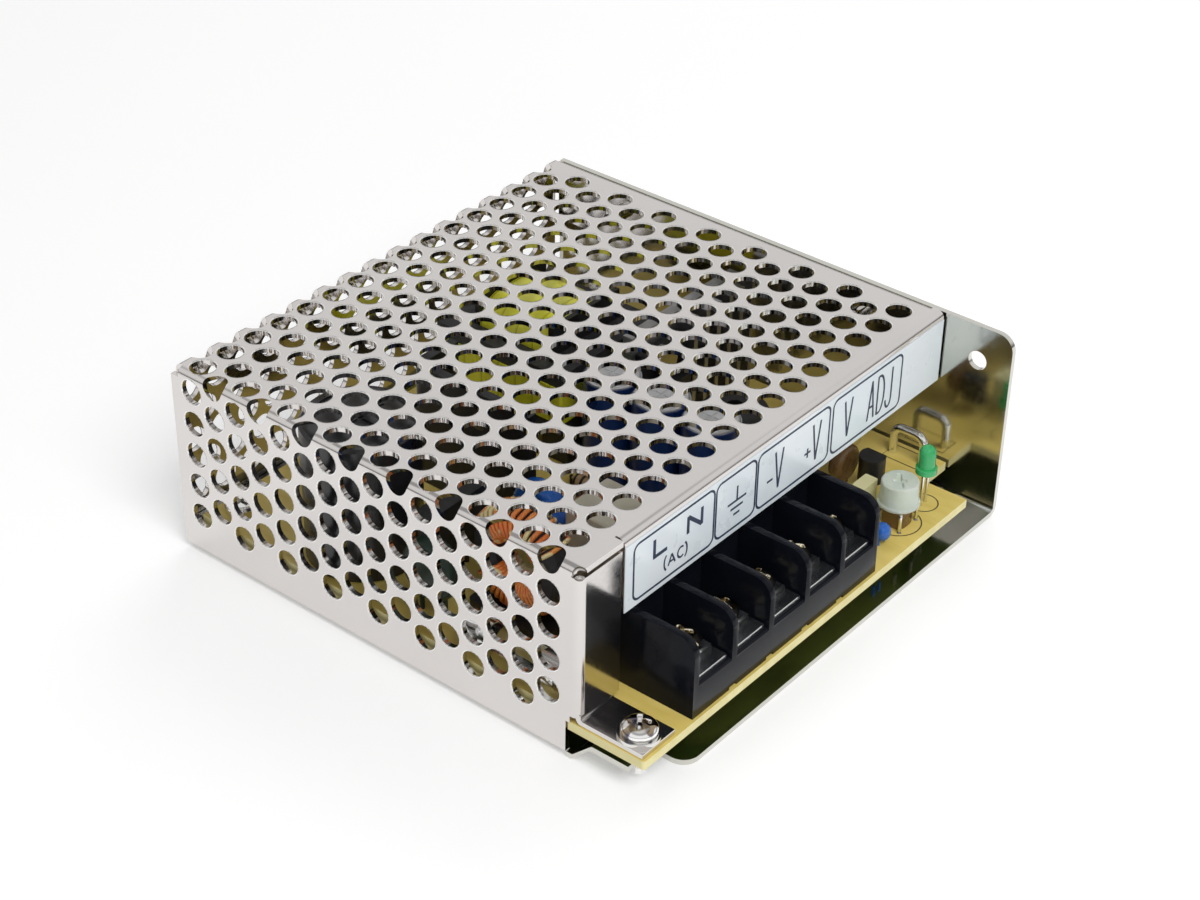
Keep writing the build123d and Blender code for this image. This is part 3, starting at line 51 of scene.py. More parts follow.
# Case edges and the cover's perforation, as the CAD has them
CASE_LEFT, CASE_BACK, CASE_TOP = -48.5, 49.5, 36.0
COVER_FRONT = -36.1
HOLE_R, PITCH_X, PITCH_Y = 2.25, 6.06, 5.0
COLUMNS, TOP_ROWS, SIDE_ROWS, BACK_ROWS = 16, 15, 5, 5
FIRST_COLUMN, ROW_INSET, SIDE_INSET, BACK_INSET = 4.6, 0.12, 0.47, 0.5
BOARD_TOP = 7.0


# Surfaces

def box_mm(node):
    """The lowest and the highest corner of a CAD node's box, in millimetres."""
    return tuple(np.array(corner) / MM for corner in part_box(node))


def put_mesh(name, points, faces, smooth=True):
    """A mesh object from an (n, 3) array in millimetres and an (m, 4) array of corners, welded."""
    mesh = bpy.data.meshes.new(name)
    mesh.from_pydata((np.asarray(points, float) * MM).tolist(), [], np.asarray(faces).tolist())
    work = bmesh.new()
    work.from_mesh(mesh)
    bmesh.ops.remove_doubles(work, verts=work.verts, dist=1e-7)
    work.to_mesh(mesh)
    work.free()
    mesh.polygons.foreach_set("use_smooth", np.full(len(mesh.polygons), smooth))
    obj = bpy.data.objects.new(name, mesh)
    bpy.context.scene.collection.objects.link(obj)
    return obj


def grid_faces(rows, cols, round_cols=False):
    """Quads of a rows by cols grid of points, each to the next in its row and column. With
    round_cols each row closes on itself."""
    i = np.arange(rows - 1)[:, None]
    j = np.arange(cols if round_cols else cols - 1)[None, :]
    i2, j2 = i + 1, (j + 1) % cols
    quad = np.stack([i * cols + j, i * cols + j2, i2 * cols + j2, i2 * cols + j], axis=-1)
    return quad.reshape(-1, 4)


def join(parts):
    """One set of points and faces from several, each one's faces counted on past the last."""
    points, faces, start = [], [], 0
    for p, f in parts:
        p = np.asarray(p, float).reshape(-1, 3)
        points.append(p)
        faces.append(np.asarray(f) + start)
        start += len(p)
    return np.concatenate(points), np.concatenate(faces)


def tube(path, radius, sides, toward):
    """A round tube: each path point plus radius times (cos a, sin a) in the plane across the path.

    toward is a direction, or one for each point, that is never along the path; the circle's first
    axis is square to both. The ends are closed.
    """
    path = np.asarray(path, float)
    along = np.gradient(path, axis=0)
    along /= np.linalg.norm(along, axis=1, keepdims=True)
    side = np.cross(along, np.broadcast_to(toward, path.shape))
    side /= np.linalg.norm(side, axis=1, keepdims=True)
    up = np.cross(along, side)
    a = np.linspace(0, 2 * np.pi, sides, endpoint=False)[None, :, None]
    ring = path[:, None, :] + radius * (np.cos(a) * side[:, None, :] + np.sin(a) * up[:, None, :])
    first = np.broadcast_to(path[:1, None, :], (1, sides, 3))
    last = np.broadcast_to(path[-1:, None, :], (1, sides, 3))
    ring = np.concatenate([first, ring, last])
    return ring.reshape(-1, 3), grid_faces(len(ring), sides, round_cols=True)


def turned(profile, sides):
    """A turned surface: the (radius, height) profile carried round the z axis."""
    r, h = np.asarray(profile, float).T
    a = np.linspace(0, 2 * np.pi, sides, endpoint=False)
    x, y = r[:, None] * np.cos(a), r[:, None] * np.sin(a)
    z = np.broadcast_to(h[:, None], x.shape)
    points = np.stack([x, y, z], axis=-1).reshape(-1, 3)
    return points, grid_faces(len(r), sides, round_cols=True)


def ribbon(path, width, front):
    """A flat printed stroke at y front: points half the width to each side of an (x, z) path."""
    path = np.asarray(path, float)
    d = np.gradient(path, axis=0)
    d /= np.linalg.norm(d, axis=1, keepdims=True)
    off = np.stack([-d[:, 1], d[:, 0]], axis=1) * width / 2
    both = np.stack([path + off, path - off], axis=1)
    points = np.stack([both[..., 0], np.full(both.shape[:2], front), both[..., 1]], axis=-1)
    return points.reshape(-1, 3), grid_faces(len(path), 2)


# Finishes

class Nodes:
    """Short ways to add nodes and links to a node tree."""

    def __init__(self, tree):
        self.tree = tree

    def node(self, kind, **settings):
        made = self.tree.nodes.new(kind)
        for key, value in settings.items():
            setattr(made, key, value)
        return made

    def link(self, source, target):
        self.tree.links.new(source, target)

    def arithmetic(self, operation, first, second=None):
        """One arithmetic step on a source and, where it takes two, a number or another source."""
        step = self.node("ShaderNodeMath", operation=operation)
        self.link(first, step.inputs[0])
        if isinstance(second, (int, float)):
            step.inputs[1].default_value = second
        elif second is not None:
            self.link(second, step.inputs[1])
        return step.outputs[0]

    def split(self, source):
        """The x, y and z of a vector."""
        parts = self.node("ShaderNodeSeparateXYZ")
        self.link(source, parts.inputs["Vector"])
        return parts.outputs

    def direct_rays(self):
        """1 for what the camera sees, straight or by way of gloss or glass, and 0 for light."""
        rays = self.node("ShaderNodeLightPath").outputs
        seen = self.arithmetic("MAXIMUM", rays["Is Camera Ray"], rays["Is Glossy Ray"])
        return self.arithmetic("MAXIMUM", seen, rays["Is Transmission Ray"])


class Finish(Nodes):
    """A node material: one Principled shader fed by patterns on Object coordinates."""

    def __init__(self, name, colour, **sockets):
        self.material = bpy.data.materials.new(name)
        self.material.use_nodes = True
        super().__init__(self.material.node_tree)
        self.shader = self.tree.nodes["Principled BSDF"]
        self.coords = self.tree.nodes.new("ShaderNodeTexCoord").outputs["Object"]
        self.shader.inputs["Base Color"].default_value = (*colour, 1)
        for socket, value in sockets.items():
            self.shader.inputs[socket.replace("_", " ")].default_value = value

    def cloud(self, scale, detail=3.0, stretch=(1, 1, 1)):
        """Noise on Object coordinates, scale in features a metre, stretched along an axis."""
        mapping = self.node("ShaderNodeMapping")
        mapping.inputs["Scale"].default_value = stretch
        noise = self.node("ShaderNodeTexNoise")
        noise.inputs["Scale"].default_value = scale
        noise.inputs["Detail"].default_value = detail
        self.link(self.coords, mapping.inputs["Vector"])
        self.link(mapping.outputs["Vector"], noise.inputs["Vector"])
        return noise.outputs["Fac"]

    def shade(self, source, low, high, start=0.3, end=0.7):
        """A colour that runs from low to high as the source runs from start to end."""
        ramp = self.node("ShaderNodeValToRGB")
        for stop, place, colour in zip(ramp.color_ramp.elements, (start, end), (low, high)):
            stop.position, stop.color = place, (*colour, 1)
        self.link(source, ramp.inputs["Fac"])
        return ramp.outputs["Color"]

    def level(self, source, low, high, start=0.3, end=0.7):
        """A number that runs from low to high as the source runs from start to end."""
        scale = self.node("ShaderNodeMapRange")
        span = {"From Min": start, "From Max": end, "To Min": low, "To Max": high}
        for socket, value in span.items():
            scale.inputs[socket].default_value = value
        self.link(source, scale.inputs["Value"])
        return scale.outputs["Result"]

    def mix(self, factor, first, second):
        """Colour first where the factor is 0, second where it is 1."""
        mixer = self.node("ShaderNodeMix", data_type="RGBA")
        self.link(factor, mixer.inputs["Factor"])
        for socket, value in ((mixer.inputs[6], first), (mixer.inputs[7], second)):
            if isinstance(value, tuple):
                socket.default_value = (*value, 1)
            else:
                self.link(value, socket)
        return mixer.outputs[2]

    def colour(self, source):
        self.link(source, self.shader.inputs["Base Color"])

    def rough(self, source):
        self.link(source, self.shader.inputs["Roughness"])

    def bump(self, height, strength, depth_mm):
        """Relief from a height pattern, depth in millimetres."""
        relief = self.node("ShaderNodeBump")
        relief.inputs["Strength"].default_value = strength
        relief.inputs["Distance"].default_value = depth_mm * MM
        self.link(height, relief.inputs["Height"])
        self.link(relief.outputs["Normal"], self.shader.inputs["Normal"])


def metal(name, dark, light, smooth, dull, grain=900.0, stretch=(1, 1, 1), relief=0.0):
    """Plated or bare metal: cloudy tone and gloss, with a fine grain."""
    f = Finish(name, light, Metallic=1.0)
    tone = f.cloud(40.0, 4.0)
    grain_fac = f.cloud(grain, 3.0, stretch)
    f.colour(f.shade(tone, dark, light, 0.2, 0.8))
    f.rough(f.level(grain_fac, smooth, dull))
    if relief:
        f.bump(grain_fac, 0.4, relief)
    return f.material


def plating_with_painted_reflections(name, bright, cool, warm, share):
    """Bright plating on a small screw with painted light above the board: painted highlights beside
    painted dark reflections, some cool and some warm. A screw's end under the board is evenly
    bright."""
    f = Finish(name, bright, Metallic=1.0)
    # painted reflection: cloudy cool and warm dark patches in the colour stand in for dark
    # surroundings mirrored in the plating
    painted_reflection = f.shade(f.cloud(420.0, 0.0), cool, warm, 0.45, 0.55)
    # painted highlights: where this cloud runs high, the colour is the bright plating
    lights = f.level(f.cloud(620.0, 0.0), 0, 1, share, share + 0.07)
    height = f.split(f.coords)[2]
    under_board = f.level(height, 1, 0, (BOARD_TOP - 1.5) * MM, (BOARD_TOP - 0.5) * MM)
    f.colour(f.mix(f.arithmetic("MAXIMUM", lights, under_board), painted_reflection, bright))
    f.rough(f.level(f.cloud(500.0), 0.05, 0.10))
    return f.material


def plastic(name, dark, light, smooth, dull, grain=700.0, relief=0.01, **sockets):
    """Moulded plastic, lacquer or ceramic: slight mottling and a fine uneven gloss."""
    f = Finish(name, light, **sockets)
    tone = f.cloud(140.0, 3.0)
    grain_fac = f.cloud(grain, 2.0)
    f.colour(f.shade(tone, dark, light))
    f.rough(f.level(grain_fac, smooth, dull))
    f.bump(grain_fac, 0.25, relief)
    return f.material


def board_finish():
    """Golden laminate on top, pale cut edges and a green mask streaked with olive below."""
    f = Finish("board_laminate", (0.80, 0.62, 0.17))
    normal = f.split(f.tree.nodes["Texture Coordinate"].outputs["Normal"])[2]
    weave = f.cloud(420.0, 2.0, (1, 0.25, 1))
    top = f.shade(weave, (0.75, 0.57, 0.14), (0.85, 0.67, 0.20))
    patches = f.cloud(95.0, 0.0, (0.35, 1, 1))
    below = f.shade(patches, (0.07, 0.11, 0.015), (0.20, 0.24, 0.05), 0.47, 0.53)
    edge = f.shade(weave, (0.80, 0.71, 0.33), (0.90, 0.82, 0.43))
    faces = f.mix(f.level(normal, 0, 1, -0.5, 0.5), below, top)
    flat = f.arithmetic("ABSOLUTE", normal)
    f.colour(f.mix(f.level(flat, 0, 1, 0.4, 0.6), edge, faces))
    f.rough(f.level(f.cloud(250.0), 0.32, 0.5))
    f.bump(patches, 0.2, 0.02)
    return f.material


def tape_finish():
    """Yellow polyester tape in tight laps, each lap edge a thin darker line."""
    laps_a_metre = 260.0
    f = Finish("transformer_tape_film", (0.85, 0.82, 0.05), Coat_Weight=0.4, Coat_Roughness=0.15)
    laps = f.arithmetic("FRACT", f.arithmetic("MULTIPLY", f.split(f.coords)[1], laps_a_metre))
    f.colour(f.mix(f.level(laps, 0, 1, 0.0, 0.16), (0.52, 0.50, 0.02),
                   f.shade(f.cloud(160.0), (0.80, 0.79, 0.03), (0.92, 0.90, 0.06))))
    f.rough(f.level(f.cloud(400.0), 0.2, 0.38))
    f.bump(laps, 0.3, 0.05)
    return f.material


def wire_finish():
    """Enamelled copper: bright orange strands among straw-coloured ones, under a clear coat."""
    f = Finish("enamelled_copper", (0.90, 0.30, 0.08), Metallic=0.2, Coat_Weight=0.8,
               Coat_Roughness=0.08)
    strands = f.level(f.cloud(330.0, 1.0), 0, 1, 0.56, 0.60)
    orange = f.shade(f.cloud(300.0), (0.95, 0.20, 0.03), (1.0, 0.38, 0.08))
    f.colour(f.mix(strands, orange, (1.0, 0.84, 0.42)))
    f.rough(f.level(f.cloud(500.0), 0.2, 0.36))
    return f.material


def banded_sleeve(name, dark, light, stripe, turn):
    """Shrunk sleeve of a capacitor, with pale upright stripes where the sine of turn times x
    peaks."""
    f = Finish(name, light, Coat_Weight=0.3, Coat_Roughness=0.2)
    wrinkle = f.cloud(180.0, 3.0, (1, 1, 0.3))
    wave = f.arithmetic("SINE", f.arithmetic("MULTIPLY", f.split(f.coords)[0], turn))
    f.colour(f.mix(f.level(wave, 0, 1, 0.93, 0.95), f.shade(wrinkle, dark, light), stripe))
    f.rough(f.level(wrinkle, 0.22, 0.36))
    f.bump(wrinkle, 0.3, 0.04)
    return f.material


def lamp_finish():
    """Green tinted resin that lets some light through."""
    f = Finish("green_lamp_resin", (0.10, 0.70, 0.30), Transmission_Weight=0.4, IOR=1.5)
    f.colour(f.shade(f.cloud(220.0), (0.04, 0.54, 0.18), (0.11, 0.72, 0.28)))
    f.rough(f.level(f.cloud(500.0), 0.08, 0.18))
    return f.material


def knob_finish():
    """Milky white nylon, slightly see-through."""
    f = Finish("milky_nylon", (0.84, 0.90, 0.80), Subsurface_Weight=0.4, Subsurface_Scale=0.002,
               Transmission_Weight=0.35)
    f.shader.inputs["Subsurface Radius"].default_value = (1.0, 1.0, 0.8)
    f.colour(f.shade(f.cloud(260.0), (0.74, 0.83, 0.72), (0.88, 0.94, 0.84)))
    f.rough(f.level(f.cloud(600.0), 0.3, 0.45))
    return f.material


def glass_finish():
    """Clear fuse glass with a faint green tint."""
    f = Finish("fuse_tube_glass", (0.9, 0.95, 0.93), Transmission_Weight=1.0, IOR=1.5)
    f.colour(f.shade(f.cloud(120.0), (0.84, 0.92, 0.89), (0.93, 0.97, 0.95)))
    f.rough(f.level(f.cloud(300.0), 0.02, 0.06))
    return f.material


def resistor_finish():
    """Tan lacquer with red or black bands across the body, set by the distance along it."""
    bands_a_metre = 700.0
    f = Finish("banded_resistor", (0.55, 0.36, 0.18))
    along = f.arithmetic("FRACT", f.arithmetic("MULTIPLY", f.split(f.coords)[1], bands_a_metre))
    lacquer = f.shade(f.cloud(200.0), (0.48, 0.31, 0.15), (0.60, 0.41, 0.22))
    band = f.shade(f.cloud(70.0, 0.0), (0.35, 0.03, 0.01), (0.02, 0.02, 0.02), 0.48, 0.52)
    f.colour(f.mix(f.level(along, 0, 1, 0.62, 0.66), lacquer, band))
    f.rough(f.level(f.cloud(500.0), 0.3, 0.45))
    return f.material


def label_finish():
    """Pale blue-white laminated label."""
    f = Finish("label_laminate", (0.80, 0.87, 0.92), Coat_Weight=0.6, Coat_Roughness=0.12)
    f.colour(f.shade(f.cloud(45.0), (0.74, 0.83, 0.89), (0.84, 0.90, 0.94)))
    f.rough(f.level(f.cloud(300.0), 0.25, 0.4))
    return f.material


FINISHES = {
    "cover": metal("satin_nickel", (0.685, 0.655, 0.635), (0.735, 0.705, 0.685), 0.10, 0.16,
                   1500.0, (1, 0.15, 1)),
    "chassis": metal("bright_chassis_steel", (0.60, 0.595, 0.545), (0.72, 0.71, 0.655), 0.10, 0.16,
                     1200.0, (0.2, 1, 1)),
    "label": label_finish(),
    "ink": plastic("navy_print", (0.012, 0.02, 0.05), (0.02, 0.035, 0.08), 0.4, 0.5),
    # hole rims: a brighter colour than the cover's, a painted highlight round each hole
    "rim": metal("rim_nickel_painted_highlight", (0.84, 0.83, 0.81), (0.90, 0.89, 0.87), 0.05, 0.09,
                 700.0),
    "nickel_screw": metal("nickel_screw", (0.74, 0.73, 0.70), (0.84, 0.83, 0.80), 0.06, 0.10,
                          500.0),
    # both screw finishes carry painted highlights and painted dark reflections in their colour
    "tab_plating": plating_with_painted_reflections("bright_zinc_painted_reflections", (0.98, 0.97, 0.96), (0.14, 0.13, 0.17),
                             (0.36, 0.28, 0.18), 0.44),
    "brass_screw": plating_with_painted_reflections("screw_plating_painted_reflections", (0.94, 0.86, 0.64), (0.12, 0.09, 0.05),
                             (0.42, 0.30, 0.14), 0.37),
    "tin": metal("tinned_metal", (0.80, 0.81, 0.80), (0.88, 0.89, 0.88), 0.14, 0.22, 500.0),
    "board": board_finish(),
    "block": plastic("block_black_resin", (0.004, 0.005, 0.008), (0.007, 0.008, 0.012), 0.12, 0.20,
                     500.0, 0.003, Specular_IOR_Level=0.12),
    "bobbin": plastic("bobbin_resin", (0.012, 0.012, 0.012), (0.022, 0.022, 0.022), 0.35, 0.5),
    "ferrite": plastic("ferrite_grey", (0.022, 0.022, 0.024), (0.045, 0.045, 0.048), 0.45, 0.65,
                       900.0, 0.02),
    "epoxy": plastic("black_epoxy", (0.010, 0.010, 0.011), (0.020, 0.020, 0.022), 0.32, 0.5),
    "trimmer": plastic("trimmer_amber_resin", (0.20, 0.11, 0.05), (0.34, 0.20, 0.09), 0.12, 0.25,
                       Transmission_Weight=0.3),
    "knob": knob_finish(),
    "lamp": lamp_finish(),
    "film_box": plastic("pale_yellow_box", (0.70, 0.66, 0.36), (0.80, 0.77, 0.48), 0.3, 0.45),
    "tan_disc": plastic("tan_lacquer", (0.11, 0.06, 0.02), (0.16, 0.09, 0.035), 0.22, 0.35),
    "blue_disc": plastic("blue_lacquer", (0.012, 0.09, 0.42), (0.03, 0.17, 0.56), 0.18, 0.3),
    "can": metal("can_aluminium", (0.86, 0.87, 0.89), (0.92, 0.93, 0.95), 0.30, 0.40, 400.0),
    "black_sleeve": banded_sleeve("black_sleeve", (0.008, 0.008, 0.010), (0.02, 0.02, 0.024),
                                  (0.42, 0.43, 0.44), 90.0),
    "blue_sleeve": banded_sleeve("blue_sleeve", (0.006, 0.025, 0.12), (0.012, 0.05, 0.20),
                                 (0.50, 0.55, 0.62), 150.0),
    "tape": tape_finish(),
    "copper": wire_finish(),
    "beige_box": plastic("beige_box", (0.52, 0.49, 0.38), (0.62, 0.59, 0.47), 0.35, 0.5),
    "glass": glass_finish(),
    "thermistor": plastic("thermistor_green", (0.012, 0.03, 0.02), (0.025, 0.05, 0.035), 0.3, 0.45),
    "black_heatsink": plastic("black_anodised_plate", (0.010, 0.010, 0.013),
                              (0.022, 0.022, 0.027), 0.3, 0.45, 900.0, 0.01),
    "heatsink": metal("extruded_aluminium", (0.42, 0.42, 0.43), (0.58, 0.58, 0.59), 0.32, 0.5,
                      900.0, (1, 1, 0.05), 0.01),
    "resistor": resistor_finish(),
    "film": plastic("insulation_film", (0.50, 0.50, 0.46), (0.60, 0.60, 0.56), 0.25, 0.4,
                    300.0, 0.02),
    "print": plastic("board_print", (0.035, 0.030, 0.020), (0.06, 0.05, 0.035), 0.5, 0.6),
}

WEARS = {
    "cover": ["mesh_cover"],
    "chassis": ["chassis"],
    "label": ["label_plate"],
    "nickel_screw": ["side_screws", "tab_screw", "tab_washer", "board_standoffs", "board_screws",
                     "heatsink_screws"],
    "brass_screw": [f"terminal_screw_{i}" for i in range(1, 6)],
    "tin": ["terminal_contacts", "trimmer_pins", "led_leads", "small_transistor_leads", "wire_link",
            "fuse_caps", "fuse_clips"] + [f"clamp_plate_{i}" for i in range(1, 6)],
    "board": ["circuit_board"],
    "block": ["terminal_housing"],
    "bobbin": ["transformer_bobbin", "choke_base"],
    "ferrite": ["transformer_core", "choke_core"],
    "epoxy": ["small_transistor", "bridge_rectifier", "switching_transistor", "output_rectifier",
              "output_inductor", "control_chip", "optocoupler"],
    "trimmer": ["trimmer_base"],
    "knob": ["trimmer_knob"],
    "lamp": ["led_lens"],
    "film_box": ["film_capacitor"],
    "tan_disc": ["tan_capacitor"],
    "blue_disc": ["bead_capacitor", "blue_capacitors"],
    "can": ["output_capacitor_cans"],
    "black_sleeve": ["bulk_capacitor_sleeve", "bulk_capacitor_can"],
    "blue_sleeve": ["output_capacitor_sleeves"],
    "tape": ["transformer_winding", "transformer_tape"],
    "copper": ["choke_windings"],
    "beige_box": ["filter_capacitor"],
    "glass": ["fuse_glass"],
    "thermistor": ["thermistor"],
    "heatsink": ["secondary_heatsink"],
    "black_heatsink": ["primary_heatsink"],
    "resistor": ["resistors"],
    "film": ["insulation_sheet"],
}


def dress(obj, finish):
    """Gives an object one finish in all its material slots."""
    if not obj.material_slots:
        obj.data.materials.append(FINISHES[finish])
    for slot in obj.material_slots:
        slot.material = FINISHES[finish]


for finish, names in WEARS.items():
    for name in names:
        dress(nodes[name], finish)


def add_piece(name, points, faces, finish, body="supply", stands_for=(), smooth=True):
    """Puts a surface in the scene with its finish and its body, and hides the CAD nodes it stands
    for.
    """
    piece = put_mesh(name, points, faces, smooth)
    dress(piece, finish)
    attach(piece, body)
    if stands_for:
        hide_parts(*stands_for)


# Pieces

def hole_centres():
    """Centres of the cover's holes on the top, side and back, each an (n, 2) array on its sheet.

    Every second column or row is shifted by half a pitch, and then has one hole fewer on the side.
    """
    c = np.arange(COLUMNS)
    y = CASE_BACK - FIRST_COLUMN - PITCH_Y * c
    even = c % 2 == 0
    shift = np.where(even, 0.5, 1.0)
    top_x = CASE_LEFT - ROW_INSET + PITCH_X * (np.arange(TOP_ROWS)[None, :] + shift[:, None])
    top = np.stack([top_x, np.broadcast_to(y[:, None], top_x.shape)], axis=-1).reshape(-1, 2)
    side_z = CASE_TOP - SIDE_INSET - PITCH_X * (np.arange(SIDE_ROWS)[None, :] + shift[:, None])
    keep = np.arange(SIDE_ROWS)[None, :] < np.where(even, SIDE_ROWS, SIDE_ROWS - 1)[:, None]
    side = np.stack([np.broadcast_to(y[:, None], side_z.shape), side_z], axis=-1)[keep]
    k = np.arange(1, BACK_ROWS + 1)
    shift = np.where(k % 2 == 1, 0.5, 1.0)
    back_x = CASE_LEFT - ROW_INSET + PITCH_X * (np.arange(TOP_ROWS)[None, :] + shift[:, None])
    back_z = np.broadcast_to((CASE_TOP - BACK_INSET - PITCH_Y * k)[:, None], back_x.shape)
    back = np.stack([back_x, back_z], axis=-1).reshape(-1, 2)
    return top, side, back


def rim_rings(centres, along, across, out, level):
    """Rolled rims round punched holes: at each centre three rings, from just outside the hole on
    the sheet, over its edge, to just inside the bore."""
    sides = 20
    a = np.linspace(0, 2 * np.pi, sides, endpoint=False)
    rise = np.array([0.012, 0.0, -0.16])
    radius = HOLE_R + np.array([0.17, 0.02, -0.035])
    circle = np.cos(a)[None, :, None] * along + np.sin(a)[None, :, None] * across
    ring = radius[:, None, None] * circle
    ring = ring + (rise[:, None, None] + level) * out
    spots = centres[:, 0, None] * along + centres[:, 1, None] * across
    points = spots[:, None, None, :] + ring[None]
    one = grid_faces(3, sides, round_cols=True)
    faces = one[None] + (np.arange(len(centres)) * 3 * sides)[:, None, None]
    return points.reshape(-1, 3), faces.reshape(-1, 4)


def cover_hole_rims():
    """The rims of all flat holes of the cover, in one piece."""
    x, y, z = np.eye(3)
    top, side, back = hole_centres()
    points, faces = join([
        rim_rings(top, x, y, z, CASE_TOP),
        rim_rings(side, y, z, -x, -CASE_LEFT),
        rim_rings(back * (-1, 1), -x, z, y, CASE_BACK)])
    add_piece("cover_hole_rims", points, faces, "rim")


def round_frame(left, low, right, high, corner=1.3):
    """A closed round-cornered frame: four quarter circles, one at each corner, in order."""
    quarter = np.pi / 2
    spots = [(right - corner, high - corner), (left + corner, high - corner),
             (left + corner, low + corner), (right - corner, low + corner)]
    arcs = []
    for q, (cx, cz) in enumerate(spots):
        a = np.linspace(0, quarter, 7) + q * quarter
        arcs.append(np.stack([cx + corner * np.cos(a), cz + corner * np.sin(a)], axis=1))
    loop = np.concatenate(arcs)
    return np.concatenate([loop, loop[:1]])


def bow(cx, cz, rx, rz, start, end, steps=12):
    """Part of an ellipse, from one angle to another in degrees."""
    a = np.radians(np.linspace(start, end, steps))
    return np.stack([cx + rx * np.cos(a), cz + rz * np.sin(a)], axis=1)


def label_print():
    """Generic terminal marks: live, neutral and earth, minus and plus, and the voltage adjuster."""
    front = COVER_FRONT - 0.165
    line, small, bold, tall = 0.42, 0.36, 0.68, 0.46
    low, high = 23.6, 33.8
    frames = ((-36.3, -16.7), (-16.2, -6.0), (-5.5, 13.9), (14.8, 34.7))
    strokes = [(round_frame(left, low, right, high), line) for left, right in frames]
    # live and neutral
    strokes += [(path, bold) for path in (
        [(-31.4, 32.3), (-31.4, 29.1)], [(-31.7, 29.1), (-28.3, 29.1)],
        [(-23.2, 28.9), (-23.2, 32.1)], [(-23.2, 32.0), (-19.8, 29.0)],
        [(-19.8, 28.9), (-19.8, 32.1)])]
    # alternating current, in brackets
    strokes += [(path, small) for path in (
        bow(-28.1, 26.4, 0.8, 1.45, 110, 250), bow(-24.1, 26.4, 0.8, 1.45, 70, -70),
        [(-27.9, 25.5), (-27.05, 27.4)], [(-27.05, 27.4), (-26.2, 25.5)],
        [(-27.55, 26.1), (-26.55, 26.1)], bow(-24.75, 26.45, 0.85, 0.95, 50, 310))]
    # earth, minus and plus
    strokes += [(path, line) for path in (
        [(-10.8, 31.2), (-10.8, 28.5)], [(-13.2, 28.5), (-8.4, 28.5)],
        [(-12.4, 27.3), (-9.2, 27.3)], [(-11.6, 26.1), (-10.0, 26.1)],
        [(-2.9, 27.5), (-1.4, 27.5)], [(7.2, 27.5), (8.9, 27.5)], [(8.05, 26.6), (8.05, 28.4)])]
    # volts, three times
    for left in (-0.9, 9.3, 18.2):
        foot = (left + 1.05, 25.1)
        strokes += [([(left, 32.2), foot], tall), ([foot, (left + 2.1, 32.2)], tall)]
    # adjust
    strokes += [(path, tall) for path in (
        [(25.1, 25.0), (26.0, 32.4)], [(26.0, 32.4), (26.9, 25.0)], [(25.4, 27.4), (26.6, 27.4)],
        [(27.8, 25.0), (27.8, 32.4)],
        np.concatenate([[(27.8, 32.3)], bow(28.4, 28.7, 1.3, 3.6, 90, -90), [(27.8, 25.1)]]),
        np.concatenate([[(31.9, 32.4)], bow(31.1, 26.6, 0.8, 1.6, 0, -180)]))]
    # each stroke lies a hair before the one it may cross
    points, faces = join([ribbon(path, width, front - 0.002 * i / len(strokes))
                          for i, (path, width) in enumerate(strokes)])
    add_piece("label_print", points, faces, "ink", smooth=False)


def squared(c, s, power):
    """How far to draw a circle's point (c, s) out so that the circle becomes a rounded square."""
    return (np.abs(c) ** power + np.abs(s) ** power) ** (-1 / power)


def choke_wire():
    """Enamelled wire wound round the ring core, over its top and under its bottom: a helix whose
    centre line runs along the ring while its turn follows a squared-off oval round the core."""
    low, high = box_mm("choke_core")
    centre = (low + high) / 2
    ring, wide, deep, wire = 6.6, 3.05, 2.75, 0.42
    turns, steps_a_turn, span = 15, 14, 118
    steps = turns * steps_a_turn + 1
    t = np.linspace(0, 1, steps)
    turn = 2 * np.pi * turns * t
    c, s = np.cos(turn), np.sin(turn)
    pull = squared(c, s, 3.2)
    across, out = wide * c * pull, ring + deep * s * pull
    parts = []
    for middle in (0, 180):
        sweep = np.radians(middle - span / 2 + span * t)
        path = centre + np.stack([across, out * np.sin(sweep), -out * np.cos(sweep)], axis=1)
        toward = np.stack([np.zeros(steps), np.cos(sweep), np.sin(sweep)], axis=1)
        parts.append(tube(path, wire, 7, toward))
    points, faces = join(parts)
    add_piece("choke_wire_turns", points, faces, "copper",
              stands_for=("choke_windings",))


def board_print():
    """Component outlines printed on the board: flat strokes a hair above its top."""
    level, line = BOARD_TOP + 0.02, 0.22
    # trimmer, lamp and inductor, then film capacitor, transistor and wire link
    circles = ((26.76, -42.8, 4.2), (34.17, -43.2, 2.6), (19.8, -13.5, 6.8))
    boxes = ((22.4, -39.0, 28.0, -35.0), (28.4, -37.2, 34.0, -31.6), (41.8, -37.6, 46.0, -29.8))
    a = np.linspace(0, 2 * np.pi, 33)
    outlines = [np.stack([x + r * np.cos(a), y + r * np.sin(a)], axis=1) for x, y, r in circles]
    outlines += [np.array([(x0, y0), (x1, y0), (x1, y1), (x0, y1), (x0, y0)], float)
                 for x0, y0, x1, y1 in boxes]
    parts = []
    for i, path in enumerate(outlines):
        points, faces = ribbon(path, line, 0.0)
        points = points[:, [0, 2, 1]] + [0, 0, level + 0.001 * i]
        parts.append((points, faces[:, ::-1]))
    points, faces = join(parts)
    add_piece("board_outlines", points, faces, "print", smooth=False)


